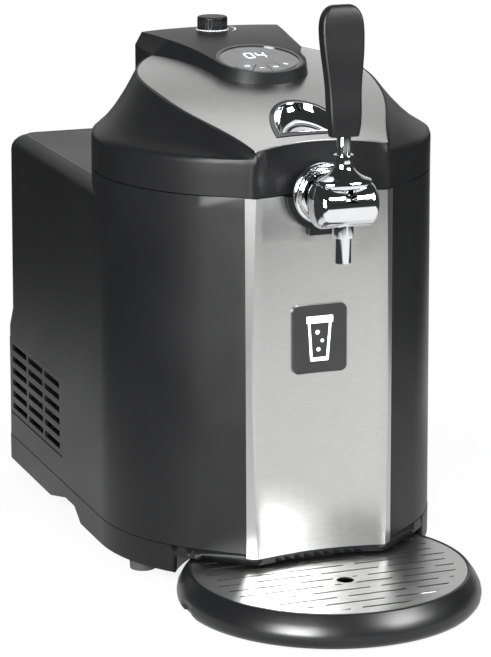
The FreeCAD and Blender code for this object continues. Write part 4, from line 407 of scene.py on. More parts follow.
@dataclass(frozen=True)
class MachinedMetal(Finish):
    """Plain drawn, turned or cast metal inside the machine."""

    roughness: Range = (0.29, 0.48)
    tones: Range = (0.82, 1.1)
    cells: float = 25.0
    detail: float = 5.0
    relief: float = 0.02 * MM
    metal: float = 1.0
    drawn: Axis = Axis.Z
    line_cells: Range = (40.0, 1500.0)

    def lay(self, graph: Graph) -> None:
        """Lays the drawing lines over a cloudy tone."""
        lines = graph.noise(along(self.drawn, *self.line_cells), detail=2.0)
        graph.tint(graph.noise(even(self.cells), self.detail), self.colour, self.tones)
        graph.roughen(lines, self.roughness)
        graph.emboss(lines, self.relief)
        graph.fix(graph.surface, Metallic=self.metal)


@dataclass(frozen=True)
class RigidFoam(Finish):
    """Foam with open cells."""

    tones: Range = (0.7, 1.0)
    cells: float = 700.0
    relief: float = 0.4 * MM

    def lay(self, graph: Graph) -> None:
        """Lays the cells."""
        depth = graph.pattern("ShaderNodeTexVoronoi", even(self.cells)).outputs["Distance"]
        graph.tint(depth, self.colour, self.tones)
        graph.emboss(depth, self.relief)
        graph.fix(graph.surface, Roughness=0.9)


@dataclass(frozen=True)
class Rubber(Finish):
    """Moulded rubber, dull and slightly dusty."""

    roughness: Range = (0.62, 0.85)
    tones: Range = (1.0, 1.7)
    cells: float = 40.0
    detail: float = 6.0
    relief: float = 0.05 * MM
    grain_cells: float = 900.0

    def lay(self, graph: Graph) -> None:
        """Lays the dust and the grain."""
        dust = graph.noise(even(self.cells), self.detail, rough=0.7)
        graph.tint(dust, self.colour, self.tones)
        graph.roughen(dust, self.roughness)
        graph.emboss(graph.noise(even(self.grain_cells)), self.relief)


@dataclass(frozen=True)
class CircuitBoard(Finish):
    """Green solder mask with paler copper runs showing through."""

    cells: float = 260.0
    relief: float = 0.05 * MM
    run_width: float = 0.07

    def lay(self, graph: Graph) -> None:
        """Lays the copper runs."""
        tones = {"Color1": 1.0, "Color2": 0.75, "Mortar": 2.1}
        colours = {key: shade(self.colour, tone) for key, tone in tones.items()}
        runs = graph.pattern("ShaderNodeTexBrick", even(self.cells), Mortar_Size=self.run_width, **colours)
        runs.offset = 0.35
        graph.join(runs.outputs["Color"], graph.surface, "Base Color")
        graph.emboss(runs.outputs["Fac"], self.relief)
        graph.fix(graph.surface, Roughness=0.3)


@dataclass(frozen=True)
class GroundCeramic(Finish):
    """Pale ceramic with a ground face."""

    roughness: Range = (0.5, 0.7)
    tones: Range = (0.88, 1.0)
    cells: float = 500.0
    detail: float = 6.0
    relief: float = 0.02 * MM


@dataclass(frozen=True)
class PrintedInk(Finish):
    """Pale printing ink with slightly uneven cover."""

    roughness: Range = (0.35, 0.5)
    cells: float = 1200.0
    detail: float = 2.0


@dataclass(frozen=True)
class LitFigure(Finish):
    """A lit bar of a display behind its window, its tone varied by a fine cloudy pattern."""

    cells: float = 900.0
    detail: float = 1.0
    glow: float = 0.6

    def lay(self, graph: Graph) -> None:
        """Lays the dots and lights them."""
        graph.tint(graph.noise(even(self.cells), self.detail), self.colour, self.tones)
        graph.fix(graph.surface, Emission_Color=(*self.colour, 1.0), Emission_Strength=self.glow)
        graph.fix(graph.surface, Roughness=0.25)


def mixed() -> dict[str, bpy.types.Material]:
    """Makes every finish on the machine once.

    Returns:
        The materials: one for each of the record's slots, by the slot's name, and a few besides.
    """
    finishes = {
        "shell_black": MouldedPlastic("satin_black_plastic", BLACK),
        "gloss_black": GlossPlastic("gloss_black_plastic", (0.006, 0.006, 0.0065)),
        "inner_plastic": MouldedPlastic("inner_grey_plastic", (0.05, 0.05, 0.053), (0.47, 0.55)),
        "steel_brushed": BrushedSteel("steel_brushed_across", (0.57, 0.57, 0.567)),
        "chrome": Chrome("chrome_plating"),
        "aluminium": MachinedMetal("drawn_aluminium", (0.72, 0.73, 0.74)),
        "brass": MachinedMetal("turned_brass", (0.68, 0.5, 0.24), (0.21, 0.4), drawn=Axis.Y),
        "rubber": Rubber("black_rubber", (0.02, 0.02, 0.02)),
        "foam": RigidFoam("insulating_foam", (0.78, 0.72, 0.55)),
        "circuit": CircuitBoard("green_circuit_board", (0.02, 0.14, 0.06)),
        "steel_screw": MachinedMetal("plated_screw", (0.5, 0.5, 0.52), (0.23, 0.42)),
        "ceramic": GroundCeramic("white_ceramic", (0.84, 0.84, 0.82)),
        "key_grey": GlossPlastic("satin_grey_key", (0.05, 0.05, 0.055), (0.22, 0.27)),
        "window": GlossPlastic("smoked_window", (0.16, 0.16, 0.165), (0.05, 0.1), metal=0.55),
        "tray": MouldedPlastic("satin_tray_plastic", BLACK, (0.27, 0.35), shine=0.42),
        "ring": MouldedPlastic("pale_plastic", (0.45, 0.45, 0.46), (0.27, 0.35)),
        "satin": Chrome("satin_chrome", (0.62, 0.63, 0.64), (0.16, 0.19)),
        "ink": PrintedInk("white_ink", (0.86, 0.87, 0.88)),
        "lit": LitFigure("lit_figures", (0.9, 0.95, 1.0)),
    }
    return {name: finish.material() for name, finish in finishes.items()}


# Meshes


def placed(name: str, data: bpy.types.ID) -> bpy.types.Object:
    """A new object of the scene that holds a mesh, a lamp or a camera.

    Args:
        name: the object's name.
        data: what it holds.

    Returns:
        The object.
    """
    made = bpy.data.objects.new(name, data)
    bpy.context.scene.collection.objects.link(made)
    return made


def sheet_mesh(name: str, points: np.ndarray, round_u: bool = False,
               round_v: bool = False) -> bpy.types.Object:
    """A surface over a grid of points.

    Args:
        name: the new object's name.
        points: an array of rows by columns by three coordinates in metres.
        round_u: whether the last row joins the first.
        round_v: whether the last column joins the first.

    Returns:
        The mesh object.
    """
    rows, columns = points.shape[:2]
    i, j = np.meshgrid(
        np.arange(rows if round_u else rows - 1),
        np.arange(columns if round_v else columns - 1),
        indexing="ij",
    )
    next_i, next_j = (i + 1) % rows, (j + 1) % columns
    corners = (i * columns + j, i * columns + next_j, next_i * columns + next_j, next_i * columns + j)
    faces = np.stack(corners, axis=-1).reshape(-1, 4)
    mesh = bpy.data.meshes.new(name)
    mesh.from_pydata(points.reshape(-1, 3).tolist(), [], faces.tolist())
    return placed(name, mesh)


def tidy_mesh(made: bpy.types.Object, crease: float = 35.0, outward: bool = True) -> bpy.types.Object:
    """Merges doubles and shades smooth up to the creases.

    Args:
        made: a mesh object.
        crease: the angle in degrees from which an edge stays sharp.
        outward: whether its faces still have to be pointed outwards.

    Returns:
        The same object.
    """
    shape = bmesh.new()
    shape.from_mesh(made.data)
    bmesh.ops.remove_doubles(shape, verts=shape.verts, dist=SAME_PLACE)
    if outward:
        bmesh.ops.recalc_face_normals(shape, faces=shape.faces)
    shape.to_mesh(made.data)
    shape.free()
    made.data.shade_smooth()
    made.data.set_sharp_from_angle(angle=math.radians(crease))
    return made


def rounded_path(corners: np.ndarray, radius: float, steps: int = 6) -> np.ndarray:
    """A closed outline whose corners are rounded by quadratic curves.

    Args:
        corners: the outline's corner points, two coordinates each.
        radius: how far from a corner its rounding starts.
        steps: points in each rounding.

    Returns:
        The outline's points in order.
    """
    before, after = np.roll(corners, 1, axis=0), np.roll(corners, -1, axis=0)
    start = corners + radius * (before - corners) / np.linalg.norm(before - corners, axis=1, keepdims=True)
    end = corners + radius * (after - corners) / np.linalg.norm(after - corners, axis=1, keepdims=True)
    t = np.linspace(0.0, 1.0, steps)[None, :, None]
    curve = (1 - t) ** 2 * start[:, None] + 2 * t * (1 - t) * corners[:, None] + t ** 2 * end[:, None]
    return curve.reshape(-1, 2)


def at_level(outline: np.ndarray, level: float | np.ndarray) -> np.ndarray:
    """Gives points of two coordinates a third: one level for all, or an array that spreads over them."""
    heights = np.broadcast_to(level, (*outline.shape[:-1], 1))
    return np.concatenate([outline, heights], axis=-1)


def circle(angles: np.ndarray) -> np.ndarray:
    """Points on the unit circle at angles in radians."""
    return np.stack([np.cos(angles), np.sin(angles)], axis=-1)


def full_circle(steps: int) -> np.ndarray:
    """Points all round the unit circle."""
    return circle(np.linspace(0.0, 2 * math.pi, steps, endpoint=False))


def rings(profile: np.ndarray, steps: int) -> np.ndarray:
    """A grid of points where each profile row of radius and height swings once round the vertical."""
    return at_level(profile[:, None, :1] * full_circle(steps), profile[:, None, 1:])


def plate_mesh(name: str, outline: np.ndarray, high: float, fold: Fold) -> bpy.types.Object:
    """A flat plate laid onto a surface: its outline shrinks to a middle point on both faces.

    Args:
        name: the new object's name.
        outline: its closed outline, two coordinates in metres, all round a middle point.
        high: its thickness.
        fold: the surface it lies on.

    Returns:
        The mesh object.
    """
    middle = outline.mean(axis=0)
    section = [(0.0, 0.0), (1.0, 0.0), (1.0, high), (0.0, high)]
    flat = np.stack([at_level(middle + share * (outline - middle), level) for share, level in section])
    return tidy_mesh(sheet_mesh(name, fold(flat), round_v=True), crease=PLATE_CREASE)


def ribbon_mesh(name: str, inner: np.ndarray, outer: np.ndarray, heights: Range,
                fold: Fold) -> bpy.types.Object:
    """A ribbon between two edge lines: a flat section at each pair of points, closed at both ends.

    Args:
        name: the new object's name.
        inner: the first edge's points, two coordinates in metres.
        outer: the second edge's points.
        heights: the levels of its lower and upper faces.
        fold: the surface it lies on.

    Returns:
        The mesh object.
    """
    low, high = heights
    section = ((inner, low), (inner, high), (outer, high), (outer, low))
    rows = np.stack([at_level(edge, level) for edge, level in section], axis=1)
    first, last = (end.mean(axis=1, keepdims=True).repeat(4, axis=1) for end in (rows[:1], rows[-1:]))
    rows = fold(np.concatenate([first, rows, last]))
    return tidy_mesh(sheet_mesh(name, rows, round_v=True), crease=PLATE_CREASE)


def band_mesh(path: np.ndarray, width: float, heights: Range, fold: Fold) -> bpy.types.Object:
    """A ribbon of one width along an open path.

    Args:
        path: the band's middle line, two coordinates in metres.
        width: its width.
        heights: the levels of its lower and upper faces.
        fold: the surface it lies on.

    Returns:
        The mesh object.
    """
    run = np.gradient(path, axis=0)
    normal = np.stack([-run[:, 1], run[:, 0]], axis=-1) / np.linalg.norm(run, axis=1, keepdims=True)
    side = normal * width / 2
    return ribbon_mesh("band", path - side, path + side, heights, fold)


def joined(name: str, pieces: Sequence[bpy.types.Object]) -> bpy.types.Object:
    """Makes one piece of several.

    Args:
        name: the new object's name.
        pieces: mesh objects, which are used up.

    Returns:
        The new object.
    """
    shape = bmesh.new()
    for piece in pieces:
        shape.from_mesh(piece.data)
        bpy.data.objects.remove(piece)
    mesh = bpy.data.meshes.new(name)
    shape.to_mesh(mesh)
    shape.free()
    return placed(name, mesh)


def d_outline(half: float, front: float, length: float, steps: int = 72) -> np.ndarray:
    """A D outline: half an ellipse towards the rear and a straight line along the front.

    Args:
        half: half its width.
        front: where its straight edge lies along Y.
        length: its length along Y.
        steps: points on the ellipse.

    Returns:
        The closed outline's points, two coordinates each.
    """
    angle = np.linspace(-math.pi / 2, math.pi / 2, steps)
    arc = np.stack([half * np.sin(angle), front + length * np.cos(angle)], axis=-1)
    across = np.linspace(half, -half, steps // 3)[1:-1]
    return np.concatenate([arc, np.stack([across, np.full_like(across, front)], axis=-1)])


def smooth_copy(node: str, crease: float, bevel: float) -> bpy.types.Object:
    """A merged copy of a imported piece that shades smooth, in the piece's own place.

    Args:
        node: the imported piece's name.
        crease: the angle in degrees from which an edge stays sharp.
        bevel: the width of the bevel on its edges, or zero.

    Returns:
        The new object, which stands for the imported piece.
    """
    source = frame["nodes"][node]
    copy = tidy_mesh(placed(f"{node}_finish", source.data.copy()), crease, outward=False)
    if bevel:
        edge = copy.modifiers.new("broken edge", "BEVEL")
        edge.width = bevel
        edge.segments = 2
        edge.limit_method = "ANGLE"
        edge.angle_limit = math.radians(BEVELLED_FROM)
    weights = copy.modifiers.new("face weights", "WEIGHTED_NORMAL")
    weights.keep_sharp = True
    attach(copy, source["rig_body"])
    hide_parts(node)
    return copy


def paint(piece: bpy.types.Object, material: bpy.types.Material) -> None:
    """Gives a piece one material."""
    piece.data.materials.clear()
    piece.data.materials.append(material)


# Studio


@dataclass(frozen=True)
class Softbox:
    """A soft lamp: where it hangs, the point it faces, its width and height, and its power in watts."""

    name: str
    place: Triple
    target: Triple
    size: Range
    power: float
    spread: float = 65.0

    def hang(self) -> None:
        """Hangs the lamp, out of the camera's sight."""
        light = bpy.data.lights.new(self.name, "AREA")
        light.shape = "RECTANGLE"
        light.size, light.size_y = self.size
        light.energy = self.power
        light.spread = math.radians(self.spread)
        lamp = placed(self.name, light)
        lamp.visible_camera = False
        facing = (Vector(self.target) - Vector(self.place)).to_track_quat("-Z", "Y")
        lamp.matrix_world = Matrix.Translation(self.place) @ facing.to_matrix().to_4x4()


@dataclass
class Studio:
    """A pale floor and backdrop, soft lamps and the camera, in metres and degrees.

    Seen plainly the floor turns into a white sweep that starts behind the machine, so that it keeps the
    machine's shadow. Mirrored, the sweep also runs out before the front panel, and beside it the floor is
    painted dark: a painted reflection of gloom that only glossy rays see, not the camera or matt surfaces.
    """

    azimuth: float = -20.789
    elevation: float = 14.293
    roll: float = 0.053
    camera_place: Triple = (-0.7929, -2.0557, 0.7379)
    focal: float = 159.25
    sensor: float = 36.0
    floor_inner: Spread = (0.0, 3.0, 8)
    floor_outer: Spread = (4.0, 14.0, 12)
    floor_steps: int = 64
    floor_flat: float = 6.0
    floor_bend: float = 0.02
    floor_colour: Triple = (0.91, 0.91, 0.91)
    floor_tones: Range = (1.0, 0.93 / 0.91)
    floor_cells: float = 3.0
    near: Range = (0.32, 0.6)
    near_share: float = 0.78
    sweep_edge: Range = (0.28, 0.55)
    sweep_widening: float = 0.12
    sweep_start: Range = (-0.1, 0.45)
    front_edge: Range = (0.55, 0.85)
    front_reach: Range = (-2.0, -1.4)
    front_end: Range = (-0.3, 0.0)
    dusk: float = 0.55
    dawn: float = 0.98
    # Strength of the dim room in front, and of the floor's painted dark reflection beside the sweep.
    gloom: float = 0.04
    soft_light: float = 0.34
    softboxes: tuple[Softbox, ...] = (
        Softbox("softbox_right", (1.4, -1.75, 1.5), (0.0, 0.0, 0.2), (1.2, 1.0), 15.0),
        Softbox("softbox_left", (-1.6, -1.65, 0.85), (0.0, 0.0, 0.2), (1.2, 1.2), 26.0),
        Softbox("softbox_back", (0.3, 0.9, 2.2), (0.0, 0.0, 0.3), (1.6, 1.2), 1.2),
    )

    def build(self) -> None:
        """Sets the whole studio up."""
        self.camera()
        self.floor()
        self.world()
        for softbox in self.softboxes:
            softbox.hang()
        bpy.context.scene.view_settings.view_transform = "Standard"
        LOG.info("studio set")

    def camera(self) -> None:
        """Makes the camera and points it down at the machine from its front left."""
        turn, tip = math.radians(self.azimuth), math.radians(self.elevation)
        back = Vector((math.sin(turn) * math.cos(tip), -math.cos(turn) * math.cos(tip), math.sin(tip)))
        right = Vector((math.cos(turn), math.sin(turn), 0.0))
        facing = Matrix((right, back.cross(right), back)).transposed()
        facing = facing @ Matrix.Rotation(math.radians(self.roll), 3, "Z")
        lens = bpy.data.cameras.new("camera")
        lens.lens = self.focal
        lens.sensor_width = self.sensor
        lens.dof.use_dof = False
        lens.clip_end = 100.0
        camera = placed("camera", lens)
        camera.matrix_world = Matrix.Translation(self.camera_place) @ facing.to_4x4()
        bpy.context.scene.camera = camera

    def floor(self) -> None:
        """Lays the floor: flat rings, and beyond them a rise that grows with the square of the distance."""
        radius = np.concatenate([np.linspace(*self.floor_inner), np.linspace(*self.floor_outer)])
        rise = self.floor_bend * np.maximum(radius - self.floor_flat, 0.0) ** 2
        profile = np.stack([radius, rise], axis=-1)
        floor = sheet_mesh("floor", rings(profile, self.floor_steps), round_v=True)
        floor.data.shade_smooth()
        graph = Graph("pale_floor")
        graph.tint(graph.noise(even(self.floor_cells)), self.floor_colour, self.floor_tones)
        graph.fix(graph.surface, Roughness=0.8, Specular_IOR_Level=0.1)
        self.whiten(graph)
        paint(floor, graph.material)

    def whiten(self, graph: Graph) -> None:
        """Mixes the floor's own shading with the sweep.

        The share of plain white is the largest of three: one fades with distance from the machine, one beside
        the sweep, and one, in mirrors only, beside the sweep's run before the front panel. Where the share is
        low, mirrors see the floor as a painted dark reflection that glows only at the gloom strength, while the
        camera sees the floor's own shading.

        Args:
            graph: the floor's material.
        """
        across, away = graph.turned(self.azimuth)
        beside = graph.sum("MULTIPLY_ADD", away, -self.sweep_widening, graph.sum("ABSOLUTE", across))
        behind = graph.sum(
            "MULTIPLY",
            graph.fade(beside, self.sweep_edge, (1.0, 0.0)),
            graph.fade(away, self.sweep_start, (0.0, 1.0)),
        )
        across, away = graph.turned(-self.azimuth)
        front = graph.sum(
            "MULTIPLY",
            graph.fade(graph.sum("ABSOLUTE", across), self.front_edge, (1.0, 0.0)),
            graph.fade(away, self.front_reach, (0.0, 1.0)),
        )
        front = graph.sum("MULTIPLY", front, graph.fade(away, self.front_end, (1.0, 0.0)))
        mirrored = graph.add("ShaderNodeLightPath").outputs["Is Glossy Ray"]
        sweep = graph.sum("MAXIMUM", behind, graph.sum("MULTIPLY", front, mirrored))
        distance = graph.add("ShaderNodeVectorMath", operation="LENGTH")
        graph.join(graph.coordinates.outputs["Object"], distance, "Vector")
        near = graph.fade(distance.outputs["Value"], self.near, (self.near_share, 0.0))
        share = graph.sum("MAXIMUM", near, sweep)
        # Painted reflection: glossy rays see only the emission, white in the sweep and painted dark at the
        # gloom strength beside it.
        plain = graph.sum("MAXIMUM", share, graph.sum("SUBTRACT", 1.0, mirrored))
        glow = graph.add("ShaderNodeEmission")
        graph.join(graph.sum("MAXIMUM", plain, self.gloom), glow, "Strength")
        mix = graph.add("ShaderNodeMixShader")
        graph.join(graph.sum("MAXIMUM", graph.sum("MULTIPLY", share, graph.seen()), mirrored), mix, 0)
        graph.join(graph.surface.outputs["BSDF"], mix, 1)
        graph.join(glow.outputs["Emission"], mix, 2)
        graph.join(mix.outputs["Shader"], graph.output, "Surface")

    def world(self) -> None:
        """Lights the room: white behind the machine, dim towards the camera, soft for matt surfaces."""
        world = bpy.data.worlds.new("room")
        bpy.context.scene.world = world
        world.use_nodes = True
        wiring = Wiring(world.node_tree)
        away = wiring.turned(self.azimuth, "Generated")[1]
        level = wiring.add("ShaderNodeMix")
        level.inputs[2].default_value = self.soft_light
        wiring.join(wiring.seen(), level, 0)
        wiring.join(wiring.fade(away, (self.dusk, self.dawn), (self.gloom, 1.0)), level, 3)
        light = wiring.add("ShaderNodeBackground")
        wiring.join(level.outputs[0], light, "Strength")
        wiring.join(light.outputs["Background"], wiring.add("ShaderNodeOutputWorld"), "Surface")


# Sub-assemblies


@dataclass
class Assembly:
    """A group of pieces that one method builds and dresses."""

    paints: dict[str, bpy.types.Material]

    def dress(self, node: str) -> None:
        """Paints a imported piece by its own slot."""
        paint(frame["nodes"][node], self.paints[SLOTS[node]])
        LOG.info("painted %s", node)

    def refine(self, node: str, finish: str = "", crease: float = 32.0, bevel: float = 0.0) -> None:
        """Puts a smooth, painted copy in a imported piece's place.

        Args:
            node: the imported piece's name.
            finish: its finish, if not its slot's own.
            crease: the angle in degrees from which an edge stays sharp.
            bevel: the width of the bevel on its edges, or zero.
        """
        slot = SLOTS[node]
        copy = smooth_copy(node, crease, bevel)
        paint(copy, self.paints[finish or slot])
        LOG.info("refined %s", node)

    def fit(self, piece: bpy.types.Object, body: str, finish: str, slot: str = "key_grey") -> None:
        """Paints a new piece and lets it ride on a body.

        Args:
            piece: the new piece.
            body: the body it moves with.
            finish: its finish.
            slot: the record's material slot for it; not used.
        """
        paint(piece, self.paints[finish])
        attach(piece, body)
        LOG.info("fitted %s", piece.name)


@dataclass
class Housing(Assembly):
    """The round housing with its rear box, plinth, vents and steel face."""

    badge_level: float = 198.0 * MM
    panel_half: float = 52.0 * MM
    panel_sag: float = 7.0 * MM
    print_height: float = 0.12 * MM
    print_rounding: float = 0.8 * MM
    bubble_steps: int = 24

    def build(self) -> None:
        """Dresses the housing's pieces and prints the badge."""
        for node in ("body_shell", "base_plinth", "rear_deck", "rear_cover", "vent_grille_left",
                     "vent_grille_right", "front_panel", "badge_plate"):
            self.refine(node)
        self.print_badge()

    def face(self, points: np.ndarray) -> np.ndarray:
        """Lays points of across, up and height onto the badge's front, which sags as a parabola.

        Args:
            points: an array whose last axis is across, up and height in metres.

        Returns:
            The same points in the frame.
        """
        low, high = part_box("badge_plate")
        half = (high.x - low.x) / 2
        sag = self.panel_sag * (half / self.panel_half) ** 2
        front = low.y + sag * (1 - (points[..., 0] / half) ** 2)
        return np.stack([points[..., 0], front - points[..., 2], self.badge_level + points[..., 1]], axis=-1)

    def print_mark(self, name: str, outline: np.ndarray) -> None:
        """Prints a closed outline on the badge."""
        self.fit(plate_mesh(name, outline, self.print_height, self.face), "housing", "ink")

    def print_badge(self) -> None:
        """Prints a plain drinking glass: tapered sides and foot, froth and three bubbles, in millimetres."""
        shapes = {
            "badge_glass_left": [(-9.4, 12.5), (-7.6, 12.5), (-5.4, -15.0), (-7.4, -15.0)],
            "badge_glass_right": [(7.6, 12.5), (9.4, 12.5), (7.4, -15.0), (5.4, -15.0)],
            "badge_glass_foot": [(-7.4, -14.2), (7.4, -14.2), (7.2, -17.0), (-7.2, -17.0)],
            "badge_froth": [(-10.6, 12.0), (-10.6, 17.5), (10.6, 17.5), (10.6, 12.0)],
        }
        for name, corners in shapes.items():
            self.print_mark(name, rounded_path(np.array(corners) * MM, self.print_rounding))
        bubbles = [((-1.6, 5.0), 1.7), ((2.2, -1.6), 1.3), ((-0.8, -8.2), 1.5)]
        for number, (middle, radius) in enumerate(bubbles, start=1):
            outline = np.array(middle) + radius * full_circle(self.bubble_steps)
            self.print_mark(f"badge_bubble_{number}", outline * MM)


@dataclass
class Lid(Assembly):
    """The hinged lid with its steel top, the control pod and the regulator knob."""

    ring_section: tuple[Range, ...] = ((0.05, -0.5), (0.15, 0.25), (0.7, 0.3), (1.1, 0.0), (1.2, -0.5))
    ring_steps: int = 96
    wedge_angles: Range = (-55.0, 20.0)
    wedge_steps: int = 24
    wedge_gap: float = 6.0 * MM
    wedge_widths: Range = (0.3 * MM, 1.8 * MM)
    wedge_heights: Range = (-0.3 * MM, 0.15 * MM)
    pod_touches: tuple[Range, ...] = ((18.0, 0.0), (18.0, 8.0), (14.0, -14.0))

    def build(self) -> None:
        """Dresses the lid's pieces and marks the knob."""
        self.refine("lid_shell", crease=28.0)
        self.refine("lid_top_plate", bevel=0.35 * MM)
        self.refine("control_pod", crease=20.0)
        self.refine("regulator_knob")
        self.mark_knob()

    def mark_knob(self) -> None:
        """Puts a pale ring under the knob and a wedge beside it that shows which way gives more gas."""
        low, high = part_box("regulator_knob")
        radius = (high.x - low.x) / 2
        section = np.array(self.ring_section) * MM + (radius, 0.0)
        foot = ((low.x + high.x) / 2, (low.y + high.y) / 2, low.z)
        ring = sheet_mesh("knob_ring", rings(section, self.ring_steps) + foot, round_v=True)
        self.fit(tidy_mesh(ring), "lid", "ring")
        angle = np.radians(np.linspace(*self.wedge_angles, self.wedge_steps))
        width = np.linspace(*self.wedge_widths, self.wedge_steps)[:, None]
        inner = circle(angle) * (radius + self.wedge_gap)
        outer = circle(angle) * (radius + self.wedge_gap + width)
        self.fit(ribbon_mesh("knob_wedge", inner, outer, self.wedge_heights, self.on_pod), "lid", "ink")

    def on_pod(self, points: np.ndarray) -> np.ndarray:
        """Lays points round the knob onto the pod's top by a plane through three points of it.

        Args:
            points: an array whose last axis is right, back and height in metres, from the knob's axis.

        Returns:
            The same points in the frame.
        """
        low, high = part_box("regulator_knob")
        middle = (low + high) / 2
        shape = bmesh.new()
        shape.from_mesh(frame["nodes"]["control_pod"].data)
        pod = BVHTree.FromBMesh(shape)
        shape.free()
        above = [Vector((middle.x + x * MM, middle.y + y * MM, 1.0)) for x, y in self.pod_touches]
        places = [pod.ray_cast(start, Vector((0.0, 0.0, -1.0)))[0] for start in above]
        normal = (places[1] - places[0]).cross(places[2] - places[0])
        x, y = points[..., 0] + middle.x, points[..., 1] + middle.y
        fall = (x - places[0].x) * normal.x + (y - places[0].y) * normal.y
        return np.stack([x, y, places[0].z - fall / normal.z + points[..., 2]], axis=-1)


class Key(Enum):
    """The display's keys, each with the azimuth of its middle on the dial in degrees."""

    POWER = -136.5
    DOWN = -105.5
    SET = -74.5
    UP = -43.5


@dataclass
class Dial(Assembly):
    """The round display with its four keys: figures and marks, in millimetres, on its tilted face."""

    middle: float = 3.0 * MM
    level: float = 388.3 * MM
    tilt: float = 10.5
    bar: float = 1.25
    bar_height: float = 0.1 * MM
    figure_width: float = 6.0
    figure_height: float = 10.5
    figure_foot: float = 4.8
    figure_gap: float = 3.6
    mark_radius: float = 21.5
    mark_heights: Range = (0.88 * MM, 1.0 * MM)
    mark_reach: float = 2.0
    line_width: float = 0.6 * MM
    line_steps: int = 5
    power_radius: float = 1.9
    power_line: float = 0.5 * MM
    power_arc: Spread = (125.0, 415.0, 30)
    power_bar: float = 1.3
    set_gap: float = 1.5

    def build(self) -> None:
        """Dresses the dial and lays its figures and marks on it."""
        self.refine("display_bezel")
        self.refine("display_disc", "window")
        for key in Key:
            self.refine(f"key_{key.name.lower()}", "window")
            self.mark_key(key)
        self.show_figures("04")

    def on_dial(self, points: np.ndarray) -> np.ndarray:
        """Tilts points of right, up and height on the dial's face into the frame.

        Args:
            points: an array whose last axis is right, up and height in metres, from the dial's middle.

        Returns:
            The same points in the frame.
        """
        t = math.radians(self.tilt)
        right, up, height = points[..., 0], points[..., 1], points[..., 2]
        back = self.middle + up * math.cos(t) - height * math.sin(t)
        return np.stack([right, back, self.level + up * math.sin(t) + height * math.cos(t)], axis=-1)

    def segment(self, start: np.ndarray, end: np.ndarray) -> bpy.types.Object:
        """One lit bar of a figure: a long hexagon.

        Args:
            start: its first tip.
            end: its last tip.

        Returns:
            The mesh object.
        """
        way = (end - start) / np.linalg.norm(end - start) * self.bar / 2
        side = np.array([-way[1], way[0]])
        corners = [start, start + way + side, end - way + side, end, end - way - side, start + way - side]
        return plate_mesh("bar", np.array(corners) * MM, self.bar_height, self.on_dial)

    def show_figures(self, text: str) -> None:
        """Lights the display's two figures, each of up to seven bars.

        Args:
            text: two digits.
        """
        wide, foot, top = self.figure_width, self.figure_foot, self.figure_foot + self.figure_height
        half = (foot + top) / 2
        bars = {
            "a": ((0, top), (wide, top)), "b": ((wide, top), (wide, half)), "c": ((wide, half), (wide, foot)),
            "d": ((0, foot), (wide, foot)), "e": ((0, half), (0, foot)), "f": ((0, top), (0, half)),
            "g": ((0, half), (wide, half)),
        }
        lit = {"0": "abcdef", "4": "bcfg"}
        pieces = []
        for place, digit in enumerate(text):
            shift = np.array([(place - 1) * wide + (place - 0.5) * self.figure_gap, 0.0])
            for start, end in (bars[bar] for bar in lit[digit]):
                pieces.append(self.segment(np.array(start) + shift, np.array(end) + shift))
        self.fit(joined("display_figures", pieces), "lid", "lit")

    def mark_lines(self, key: Key) -> list[tuple[np.ndarray, float]]:
        """The lines of a key's mark round its own middle.

        Power has an open ring with a bar, less has a bar, set has two bars and more has a cross.

        Args:
            key: the key.

        Returns:
            Each line's points and its width in metres.
        """
        step = np.linspace(-1.0, 1.0, self.line_steps)[:, None]
        level, upright = step * (self.mark_reach, 0.0), step * (0.0, self.mark_reach)
        if key is Key.POWER:
            ring = self.power_radius * circle(np.radians(np.linspace(*self.power_arc)))
            return [(ring, self.power_line), ((step + self.power_bar) * (0.0, 1.0), self.power_line)]
        second = {Key.UP: upright, Key.SET: level + (0.0, self.set_gap)}
        return [(line, self.line_width) for line in (level, second.get(key)) if line is not None]

    def mark_key(self, key: Key) -> None:
        """Prints a key's mark on it.

        Args:
            key: the key.
        """
        at = self.mark_radius * circle(np.radians(key.value))
        pieces = [
            band_mesh((at + line) * MM, width, self.mark_heights, self.on_dial)
            for line, width in self.mark_lines(key)
        ]
        name = key.name.lower()
        self.fit(joined(f"mark_{name}", pieces), f"key_{name}_body", "ink")


@dataclass(frozen=True)
class SteelTop:
    """The lid's steel top in millimetres: an arc towards the rear with a crown that fades at the front."""

    front: float = -125.3
    level: float = 343.0
    slope: float = 0.31
    curve: float = 0.00058
    widest: float = 90.5
    widest_at: float = 10.0
    narrowing: float = 38.5
    narrowing_power: float = 1.6
    crown: float = 7.0
    crown_run: float = 45.0
    front_crown: float = 1.0

    def lay(self, points: np.ndarray) -> np.ndarray:
        """Lays points onto the top.

        The height is the arc's, plus the crown's where it is full across the middle and falls off with the
        square of the distance beside it.

        Args:
            points: an array whose last axis is right, back and height.

        Returns:
            The same points in the frame, in metres.
        """
        x, y = points[..., 0], points[..., 1]
        run = y - self.front
        arc = self.level + self.slope * run - self.curve * run ** 2
        reach = np.abs(self.widest_at - y) / (self.widest_at - self.front)
        half = self.widest - self.narrowing * reach ** self.narrowing_power
        crown = self.crown * (1 - np.exp(-np.maximum(run, 0.0) / self.crown_run)) + self.front_crown
        level = arc + crown * (1 - (x / half) ** 2) + points[..., 2]
        return np.stack([x, y, level], axis=-1) * MM


